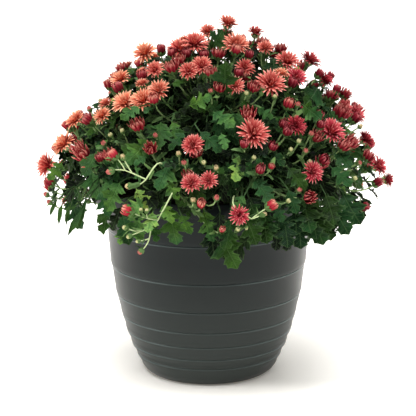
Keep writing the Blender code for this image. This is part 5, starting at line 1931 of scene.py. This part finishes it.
def peat_material():
    """Potting peat: crumbly dark brown with paler fibres."""
    settings = bpy.context.scene.chrysanthemum_pot
    material, tree = new_material("potting peat")
    spot = add_node(tree, "TexCoord").outputs["Object"]
    crumbs = add_node(tree, "TexVoronoi", {"Vector": spot, "Scale": 320.0})
    fibres = add_node(tree, "TexNoise", {"Vector": spot, "Scale": 480.0, "Detail": 5.0})
    rough = add_node(tree, "Math", [crumbs, fibres], operation="MULTIPLY")
    brown = mixed_in(tree, (*settings.peat_dark, 1.0), ((rough, (*settings.peat_pale, 1.0)),))
    bump = add_node(tree, "Bump", {"Height": rough, "Strength": 0.8, "Distance": 0.0015})
    close_material(tree, brown, 0.95, bump, 1.40)
    return material


def floor_material():
    """Seamless white studio paper with a barely seen grain, glowing a little: a painted glow that lightens
    the shadows on the floor and the foot of the pot.
    """
    material, tree = new_material("white studio paper")
    spot = add_node(tree, "TexCoord").outputs["Object"]
    grain = add_node(tree, "TexNoise", {"Vector": spot, "Scale": 30.0, "Detail": 2.0})
    close_material(tree, mixed_in(tree, "fbf8f2", ((grain, "fffdf8"),)), 0.9, None, 1.45, glow=0.14)
    return material


class ChrysanthemumPot(bpy.types.PropertyGroup):
    """Settings of the pot and its soil."""

    steps: IntProperty(name="Steps", description="Faces round the pot", default=132, min=24)
    lip: FloatProperty(
        name="Tier lip", description="How far a tier's top edge stands out", default=0.0014, unit="LENGTH"
    )
    plastic_dark: FloatVectorProperty(
        name="Dark plastic", description="Darker tint of the pot", subtype="COLOR", default=linear("0e1414")
    )
    plastic_pale: FloatVectorProperty(
        name="Pale plastic", description="Paler tint of the pot", subtype="COLOR", default=linear("141b1c")
    )
    # Pale tint of the painted highlight along the ridges of the tiers
    plastic_highlight: FloatVectorProperty(
        name="Plastic edge", description="Tint of the edges", subtype="COLOR", default=linear("566160")
    )
    peat_dark: FloatVectorProperty(
        name="Dark peat", description="Darker colour of the soil", subtype="COLOR", default=linear("20150e")
    )
    peat_pale: FloatVectorProperty(
        name="Pale peat", description="Paler colour of the soil", subtype="COLOR", default=linear("5a432e")
    )
    crumbs: IntProperty(name="Crumbs", description="Loose crumbs on the soil", default=240, min=0)


class ChrysanthemumPlant(bpy.types.PropertyGroup):
    """Settings of the blooms and leafy stems."""

    floret_width: FloatProperty(
        name="Floret width", description="Half a floret's width as a share of the radius", default=0.085
    )
    bloom_growth: FloatProperty(
        name="Bloom growth", description="Size of the blooms as a share of their solids", default=1.0
    )


class ChrysanthemumStage(bpy.types.PropertyGroup):
    """Settings of the camera, the floor and the light."""

    floor_size: FloatProperty(name="Floor size", description="Side of the floor", default=24.0, unit="LENGTH")
    lens: FloatProperty(name="Lens", description="Focal length of the camera in mm", default=161.0)
    camera_height: FloatProperty(
        name="Camera height", description="Height of the camera over the floor", default=0.752, unit="LENGTH"
    )
    camera_distance: FloatProperty(
        name="Camera distance", description="How far it stands from the pot", default=2.33, unit="LENGTH"
    )
    pitch: FloatProperty(
        name="Pitch", description="How far it looks down", default=math.radians(13.03), unit="ROTATION"
    )
    roll: FloatProperty(
        name="Roll", description="How far the camera leans", default=math.radians(-0.5), unit="ROTATION"
    )
    world_light: FloatProperty(name="World light", description="Strength of the surroundings", default=0.16)


def turned_solid(name, outline, steps, material):
    """A solid spun round the Z axis from (radius, height) points."""
    mesh = bpy.data.meshes.new(name)
    edges = [(index, index + 1) for index in range(len(outline) - 1)]
    mesh.from_pydata([(radius, 0.0, height) for radius, height in outline], edges, [])
    piece = bpy.data.objects.new(name, mesh)
    bpy.context.collection.objects.link(piece)
    activate(piece)
    bpy.ops.object.mode_set(mode="EDIT")
    bpy.ops.mesh.select_all(action="SELECT")
    bpy.ops.mesh.spin(steps=steps, angle=2 * math.pi, center=(0, 0, 0), axis=(0, 0, 1))
    bpy.ops.mesh.select_all(action="SELECT")
    bpy.ops.mesh.remove_doubles(threshold=0.00002)
    finish_mode()
    mesh.materials.append(material)
    return piece


def proud_edge(radius, height, lip):
    """Outline of the sharp top edge of a tier: a slope that stands out a little, then its ridge, which the
    pot's material paints pale as a highlight.
    """
    return [(radius + lip * share, height - drop) for share, drop in PROUD_EDGE]


def ridge_points(lip):
    """The points of the outline that make the ridge of each tier, where the pale highlight is painted."""
    return [point for radius, height in TIER_EDGES for point in proud_edge(radius, height, lip)[1:3]]


def fine_outline(lip):
    """The pot's section with a small proud edge over each tier and a rounded foot to each."""
    outline = [(0.0, FLOOR), *INSIDE_OUTLINE]
    outline.append((RIM_RADIUS - RIM_WALL - RIM_ROUND, RIM_BOTTOM + RIM_WALL + RIM_ROUND))
    outline.append((RIM_RADIUS - RIM_WALL, RIM_TOP - RIM_ROUND))
    for step in range(ROUND_STEPS + 1):
        angle = math.pi * step / ROUND_STEPS
        out = RIM_RADIUS - RIM_ROUND - RIM_ROUND * math.cos(angle)
        outline.append((out, RIM_TOP - RIM_ROUND + RIM_ROUND * math.sin(angle)))
    outline += [(RIM_RADIUS + out, RIM_BOTTOM + high) for out, high in RIM_FOOT]
    outline.append((BODY_TOP_RADIUS + RIM_INNER_ROUND, RIM_BOTTOM))
    outline.append((BODY_TOP_RADIUS, RIM_BOTTOM - RIM_INNER_ROUND))
    above = (BODY_TOP_RADIUS, RIM_BOTTOM)
    for radius, height in TIER_EDGES:
        rounding = min(TIER_ROUND_HEIGHT, (above[1] - height) * TIER_ROUND_SHARE)
        if above[1] < RIM_BOTTOM:
            outline += proud_edge(*above, lip)
        for step in range(ROUND_STEPS + 1):
            angle = 0.5 * math.pi * step / ROUND_STEPS
            inward = (TIER_OVERHANG - TIER_SET_BACK) * (1 - math.cos(angle))
            high = height + rounding * (1 - math.sin(angle)) + TIER_STEP
            outline.append((radius + TIER_OVERHANG - inward, high))
        above = (radius, height)
    return outline + proud_edge(*above, lip) + list(FOOT_OUTLINE)


def make_pot_piece():
    """The ringed pot with its rim and drain holes."""
    settings = bpy.context.scene.chrysanthemum_pot
    pot = turned_solid("ringed_pot", fine_outline(settings.lip), settings.steps, plastic_material())
    for index in range(DRAIN_HOLES):
        heading = 2 * math.pi * (index + 0.5) / DRAIN_HOLES
        place = (DRAIN_RING * math.cos(heading), DRAIN_RING * math.sin(heading), FLOOR / 2)
        bpy.ops.object.select_all(action="DESELECT")
        bpy.ops.mesh.primitive_cylinder_add(
            vertices=DRAIN_SIDES, radius=DRAIN_RADIUS, depth=4 * FLOOR, location=place,
        )
        drill = bpy.context.object
        activate(pot)
        hole = pot.modifiers.new("drain", "BOOLEAN")
        hole.operation = "DIFFERENCE"
        hole.solver = "EXACT"
        hole.object = drill
        bpy.ops.object.modifier_apply(modifier=hole.name)
        bpy.data.objects.remove(drill)
    # The ridge attribute marks where the material paints its pale highlight
    corners = np.array([(math.hypot(point.co.x, point.co.y), point.co.z) for point in pot.data.vertices])
    ridge = np.zeros(len(corners))
    for point in ridge_points(settings.lip):
        ridge[np.abs(corners - point).max(axis=1) < RIDGE_REACH] = 1.0
    pot.data.attributes.new("ridge", "FLOAT", "POINT").data.foreach_set("value", ridge)
    activate(pot)
    bpy.ops.object.shade_smooth_by_angle(angle=POT_SMOOTH_TO)
    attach(pot, "root")
    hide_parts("pot")
    return pot


def make_soil_piece():
    """Crumbly soil with a low crown, and loose crumbs on it."""
    settings = bpy.context.scene.chrysanthemum_pot
    edge = inside_radius(SOIL_EDGE) - SOIL_CLEARANCE
    radii = [edge * ring / SOIL_STEPS for ring in range(SOIL_STEPS)]
    outline = [(radius, soil_height(min(radius, SOIL_RINGS[0]))) for radius in radii]
    outline.append((edge, SOIL_EDGE))
    wall = [(radius, height) for radius, height in INSIDE_OUTLINE if height < SOIL_EDGE]
    outline += [(radius - SOIL_CLEARANCE, height) for radius, height in reversed(wall)]
    outline.append((0.0, FLOOR + GAP))
    soil = turned_solid("potting_soil", outline, SOIL_FACES, peat_material())
    for vertex in soil.data.vertices:
        radius = math.hypot(vertex.co.x, vertex.co.y)
        if radius < edge * BUMPS_WITHIN and vertex.co.z > SOIL_EDGE - BUMPS_BELOW:
            vertex.co.z += sum(height * noise.noise(vertex.co * density) for height, density in SOIL_BUMPS)
    bpy.ops.object.shade_smooth_by_angle(angle=SOIL_SMOOTH_TO)
    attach(soil, "root")
    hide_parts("soil")
    crumb = grown(5, CRUMB_ROWS)
    chance = np.random.default_rng(SEED)
    pile = Pile()
    for _ in range(settings.crumbs):
        out = edge * CRUMB_REACH * math.sqrt(chance.random())
        heading = 2 * math.pi * chance.random()
        size = CRUMB_SIZES[0] + CRUMB_SIZES[1] * chance.random() ** 2
        high = soil_height(min(out, SOIL_RINGS[0])) + CRUMB_LIFT * size
        place = np.array([out * math.cos(heading), out * math.sin(heading), high])
        turn = np.array(Euler(tuple(CRUMB_TURN * chance.random(3))).to_matrix())
        points = (crumb["points"] * size) @ turn + place
        look = np.full((len(points), 4), chance.random())
        pile.add(crumb, points[None], look[None])
    crumbs = pile.made("soil_crumbs", [soil.data.materials[0]])
    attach(crumbs, "root")


def make_bloom_pieces():
    """The open blooms, one piece for each solid."""
    settings = bpy.context.scene.chrysanthemum_plant
    layout = plant()
    chance = layout["chance"]
    coral, crimson = [petal_material(f"{colour} chrysanthemum petal") for colour in ("coral", "crimson")]
    for index, group in enumerate(layout["groups"]):
        pile = Pile()
        for bloom in group["blooms"]:
            grown_bloom = {**bloom, "radius": bloom["radius"] * settings.bloom_growth}
            place = bloom["place"]
            tone = MIDDLE_TONE + place.x / TONE_REACH + swing(TONE_CHANCE, chance)
            if place.z < LOW_BLOOM and place.x > LOW_BLOOM_FROM:
                tone += LOW_BLOOM_TONE
            add_ring(pile, layout["shapes"], "open", grown_bloom, clamped(tone), chance)
        is_crimson = index % 3 == 2
        piece = pile.made(f"{group['name']}_petals", [crimson if is_crimson else coral])
        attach(piece, "root")
        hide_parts(group["name"])


def resampled(path, steps):
    """Evenly spaced points along a path, with its corners softened."""
    path = np.array(path)
    lengths = np.concatenate([[0], np.cumsum(np.linalg.norm(np.diff(path, axis=0), axis=1))])
    places = np.linspace(0, lengths[-1], steps)
    points = np.stack([np.interp(places, lengths, path[:, k]) for k in range(3)], axis=1)
    for _ in range(2):
        points[1:-1] = (points[:-2] + 2 * points[1:-1] + points[2:]) / 4
    return points


def add_small_bloom(green, petals, shapes, small, chance):
    """A half-open bloom, small open bloom or bud in its own tone, and the bracts under it."""
    tone, _, ring, bracts, slot = SMALL_KINDS[small["kind"]]
    if small["kind"] not in BUD_KINDS:
        tone = clamped(tone - SMALL_TONE_FALL * small["place"].x)
    add_ring(petals, shapes, ring, small, tone, chance, slot)
    add_ring(green, shapes, bracts, small, BRACT_TONE, chance, 1)


def make_leafy_stem_pieces():
    """The stems with their stalks, leaves and calyces, and the half-open blooms and buds on them."""
    layout = plant()
    shapes, chance = layout["shapes"], layout["chance"]
    leaf, stalk_green = leaf_material(), stalk_material()
    petal_slots = [petal_material(name) for name in SMALL_MATERIALS]
    least, rise, power = SOLID_LEAF_TONES
    for stem in layout["stems"]:
        name = stem["name"]
        green, petals = Pile(), Pile()
        radii = stem_radii(stem)
        add_tube(green, shapes.stem, resampled(stem["path"], STEM_ROWS), (radii[0], radii[-1], STEM_TONE))
        for group in layout["groups"]:
            for bloom, stalk in zip(group["blooms"], group["stalks"]):
                if stalk["stem"] != name:
                    continue
                path, end = stalk["path"], stalk["end"]
                add_tube(green, shapes.stalk, bowed(path, STALK_ROWS), BLOOM_STALK)
                cone = [path[-1], path[-1].lerp(end, 0.5), end]
                add_tube(green, shapes.stalk, bowed(cone, STALK_ROWS), BLOOM_SEAT)
                calyx = {"place": end, "facing": bloom["facing"], "radius": CALYX_RADIUS}
                add_ring(green, shapes, "calyx", calyx, CALYX_TONE, chance, 1)
                add_leaflets(green, shapes, path, 5, chance)
        smalls = [small for small in layout["further"] if small["stem"] == name]
        smalls += [solid_small(stalk, chance) for stalk in layout["small"] if stalk["stem"] == name]
        for small in smalls:
            add_tube(green, shapes.stalk, bowed(small["path"], STALK_ROWS), SMALL_STALK)
            add_small_bloom(green, petals, shapes, small, chance)
            add_leaflets(green, shapes, small["path"], 3, chance)
        leaves = [leaf_of_solid(found) for found in layout["leaves"] if found["stem"] == name]
        leaves += [found for found in layout["more_leaves"] if found["stem"] == name]
        for spray in layout["sprays"]:
            if spray["stem"] == name:
                add_spray(green, petals, shapes, spray, chance)
        for found in leaves:
            tone = found.get("tone", least + rise * chance.random() ** power)
            add_tube(green, shapes.leaf_stalk, bowed(found["path"], LEAF_STALK_ROWS), LEAF_STALK)
            add_leaf(green, shapes, found, tone, chance)
        for pile, ending, slot, materials in (
            (green, "leaves", "leaf_green", [leaf, stalk_green]),
            (petals, "small_blooms", "crimson_petals", petal_slots),
        ):
            if pile.count:
                piece = pile.made(f"{name}_{ending}", materials)
                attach(piece, "root")
                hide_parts(name)


def solid_small(stalk, chance):
    """A half-open bloom or bud of the solids, with a kind drawn for it."""
    if stalk["kind"] == "half_open":
        kind = ("cup", "ball", "ember")[int(chance.integers(3))]
        return {**stalk, "kind": kind, "radius": HALF_OPEN_RADIUS}
    kind = BUD_KINDS[int(chance.integers(3))]
    return {**stalk, "kind": kind, "radius": BUD_RADIUS}


def leaf_of_solid(leaf):
    """A leaf of the solids with the path of its stalk."""
    knee = leaf["root"].lerp(leaf["base"], 0.6)
    return {**leaf, "path": [leaf["root"], knee, leaf["base"]], "length": leaf["length"] * 0.80, "wide": 1.08}


def add_spray(green, petals, shapes, spray, chance):
    """A pale young spray: its main stalk, its branches and a bud or half-open bloom at the end of each."""
    add_tube(green, shapes.stem, resampled(spray["main"], STEM_ROWS), SPRAY_STALK)
    for branch in spray["branches"]:
        path = branch["path"]
        add_tube(green, shapes.stalk, resampled(path, STALK_ROWS), SPRAY_BRANCH)
        facing = (path[-1] - path[-2]).normalized()
        small = {**branch, "place": path[-1] + facing * branch["radius"], "facing": facing}
        add_small_bloom(green, petals, shapes, small, chance)
        add_leaflets(green, shapes, path, 1, chance)
    add_leaflets(green, shapes, spray["main"], 4, chance)


def drawn(least_and_more, chance):
    """A value drawn between the least and what chance may add to it."""
    return least_and_more[0] + least_and_more[1] * chance.random()


def add_leaflets(pile, shapes, path, count, chance):
    """Small narrow leaves along the upper part of a stalk."""
    centre = bowed(path, 9)
    for _ in range(count):
        step = int(chance.integers(2, 8))
        along = (centre[step + 1] - centre[step - 1]).normalized()
        length, heading = drawn(LEAFLET_LENGTHS, chance), 2 * math.pi * chance.random()
        angles = [math.radians(drawn(angle, chance)) for angle in LEAFLET_ANGLES]
        row = np.array([(heading, length, LEAFLET_WIDTH * length, *angles, LEAFLET_ROOT, 0.0)])
        add_petals(pile, shapes.bract, centre[step], along, row, drawn(LEAFLET_TONES, chance), chance, 1)


def add_lamp(name, kind, way, **settings):
    """Adds a lamp with its settings, whose light comes from a way."""
    light = bpy.data.lights.new(name, kind)
    for key, value in settings.items():
        setattr(light, key, value)
    lamp = bpy.data.objects.new(name, light)
    lamp.rotation_euler = way.to_track_quat("Z", "Y").to_euler()
    bpy.context.collection.objects.link(lamp)
    return lamp


def make_stage_pieces():
    """Floor, light and camera."""
    settings = bpy.context.scene.chrysanthemum_stage
    bpy.ops.object.select_all(action="DESELECT")
    bpy.ops.mesh.primitive_plane_add(size=settings.floor_size, location=(0, 0, 0))
    floor = bpy.context.object
    floor.name = "floor"
    floor.data.materials.append(floor_material())
    world = bpy.data.worlds.new("white studio")
    bpy.context.scene.world = world
    world.use_nodes = True
    background = world.node_tree.nodes["Background"]
    background.inputs["Color"].default_value = (1.0, 1.0, 1.0, 1.0)
    background.inputs["Strength"].default_value = settings.world_light
    for name, place, aim, width, height, power in SOFTBOXES:
        way = Vector(place) - Vector(aim)
        lamp = add_lamp(name, "AREA", way, shape="RECTANGLE", size=width, size_y=height, energy=power)
        lamp.location = place
    for name, way, strength, spread in FAR_LIGHTS:
        add_lamp(name, "SUN", Vector(way), energy=strength, angle=spread)
    camera_data = bpy.data.cameras.new("camera")
    camera_data.lens = settings.lens
    camera_data.sensor_width = 36.0
    camera_data.clip_end = 60.0
    camera = bpy.data.objects.new("camera", camera_data)
    camera.location = (0.0, -settings.camera_distance, settings.camera_height)
    upright = Euler((math.pi / 2 - settings.pitch, 0.0, 0.0)).to_matrix()
    leaning = Euler((0.0, 0.0, settings.roll)).to_matrix()
    camera.rotation_euler = (upright @ leaning).to_euler()
    bpy.context.collection.objects.link(camera)
    bpy.context.scene.camera = camera
    bpy.context.scene.view_settings.view_transform = "Standard"


# Softboxes: name, place, point aimed at, width and height in metres, power in watts
SOFTBOXES = (
    ("left softbox", (-2.0, -0.6, 0.9), (0.0, 0.0, 0.2), 0.5, 1.6, 12.0),
    ("right softbox", (2.0, -0.5, 0.9), (0.0, 0.0, 0.2), 0.6, 1.6, 2.0),
)

# Far lights: name, way that the light comes from, strength in watts per square metre, and its angular size
FAR_LIGHTS = (
    ("left key light", (-0.45, -0.60, 1.60), 3.0, math.radians(26)),
    ("right key light", (0.50, -0.50, 1.60), 2.0, math.radians(32)),
    ("back light", (0.10, 0.70, 1.50), 1.8, math.radians(40)),
)


class OBJECT_OT_chrysanthemum_pot(bpy.types.Operator):
    """Adds the ringed pot"""

    bl_idname = "object.chrysanthemum_pot"
    bl_label = "Pot"

    def execute(self, context):
        make_pot_piece()
        return {"FINISHED"}


class OBJECT_OT_chrysanthemum_soil(bpy.types.Operator):
    """Adds the soil and its crumbs"""

    bl_idname = "object.chrysanthemum_soil"
    bl_label = "Soil"

    def execute(self, context):
        make_soil_piece()
        return {"FINISHED"}


class OBJECT_OT_chrysanthemum_blooms(bpy.types.Operator):
    """Adds the open blooms"""

    bl_idname = "object.chrysanthemum_blooms"
    bl_label = "Open blooms"

    def execute(self, context):
        make_bloom_pieces()
        return {"FINISHED"}


class OBJECT_OT_chrysanthemum_stems(bpy.types.Operator):
    """Adds the leafy stems with their half-open blooms and buds"""

    bl_idname = "object.chrysanthemum_stems"
    bl_label = "Leafy stems"

    def execute(self, context):
        make_leafy_stem_pieces()
        return {"FINISHED"}


class OBJECT_OT_chrysanthemum_stage(bpy.types.Operator):
    """Adds the floor, the light and the camera"""

    bl_idname = "object.chrysanthemum_stage"
    bl_label = "Stage"

    def execute(self, context):
        make_stage_pieces()
        return {"FINISHED"}


OPERATORS = (
    OBJECT_OT_chrysanthemum_pot,
    OBJECT_OT_chrysanthemum_soil,
    OBJECT_OT_chrysanthemum_blooms,
    OBJECT_OT_chrysanthemum_stems,
    OBJECT_OT_chrysanthemum_stage,
)


class VIEW3D_PT_chrysanthemum(bpy.types.Panel):
    """Buttons for each piece, with their settings"""

    bl_label = "Pot chrysanthemum"
    bl_space_type = "VIEW_3D"
    bl_region_type = "UI"
    bl_category = "Chrysanthemum"

    def draw(self, context):
        for operator in OPERATORS:
            self.layout.operator(operator.bl_idname)
        for name in SETTINGS:
            settings = getattr(context.scene, name)
            for key in settings.bl_rna.properties.keys():
                if key not in ("rna_type", "name"):
                    self.layout.prop(settings, key)


SETTINGS = {
    "chrysanthemum_pot": ChrysanthemumPot,
    "chrysanthemum_plant": ChrysanthemumPlant,
    "chrysanthemum_stage": ChrysanthemumStage,
}


def register():
    """Registers the settings, operators and panel."""
    for name, group in SETTINGS.items():
        bpy.utils.register_class(group)
        setattr(bpy.types.Scene, name, PointerProperty(type=group))
    for operator in OPERATORS:
        bpy.utils.register_class(operator)
    bpy.utils.register_class(VIEW3D_PT_chrysanthemum)


def unregister():
    """Removes what register() adds."""
    bpy.utils.unregister_class(VIEW3D_PT_chrysanthemum)
    for operator in reversed(OPERATORS):
        bpy.utils.unregister_class(operator)
    for name, group in SETTINGS.items():
        delattr(bpy.types.Scene, name)
        bpy.utils.unregister_class(group)


def main():
    """Builds every piece and the stage."""
    register()
    bpy.ops.object.chrysanthemum_pot()
    bpy.ops.object.chrysanthemum_soil()
    bpy.ops.object.chrysanthemum_blooms()
    bpy.ops.object.chrysanthemum_stems()
    bpy.ops.object.chrysanthemum_stage()
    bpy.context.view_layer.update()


if __name__ == "__main__":
    main()
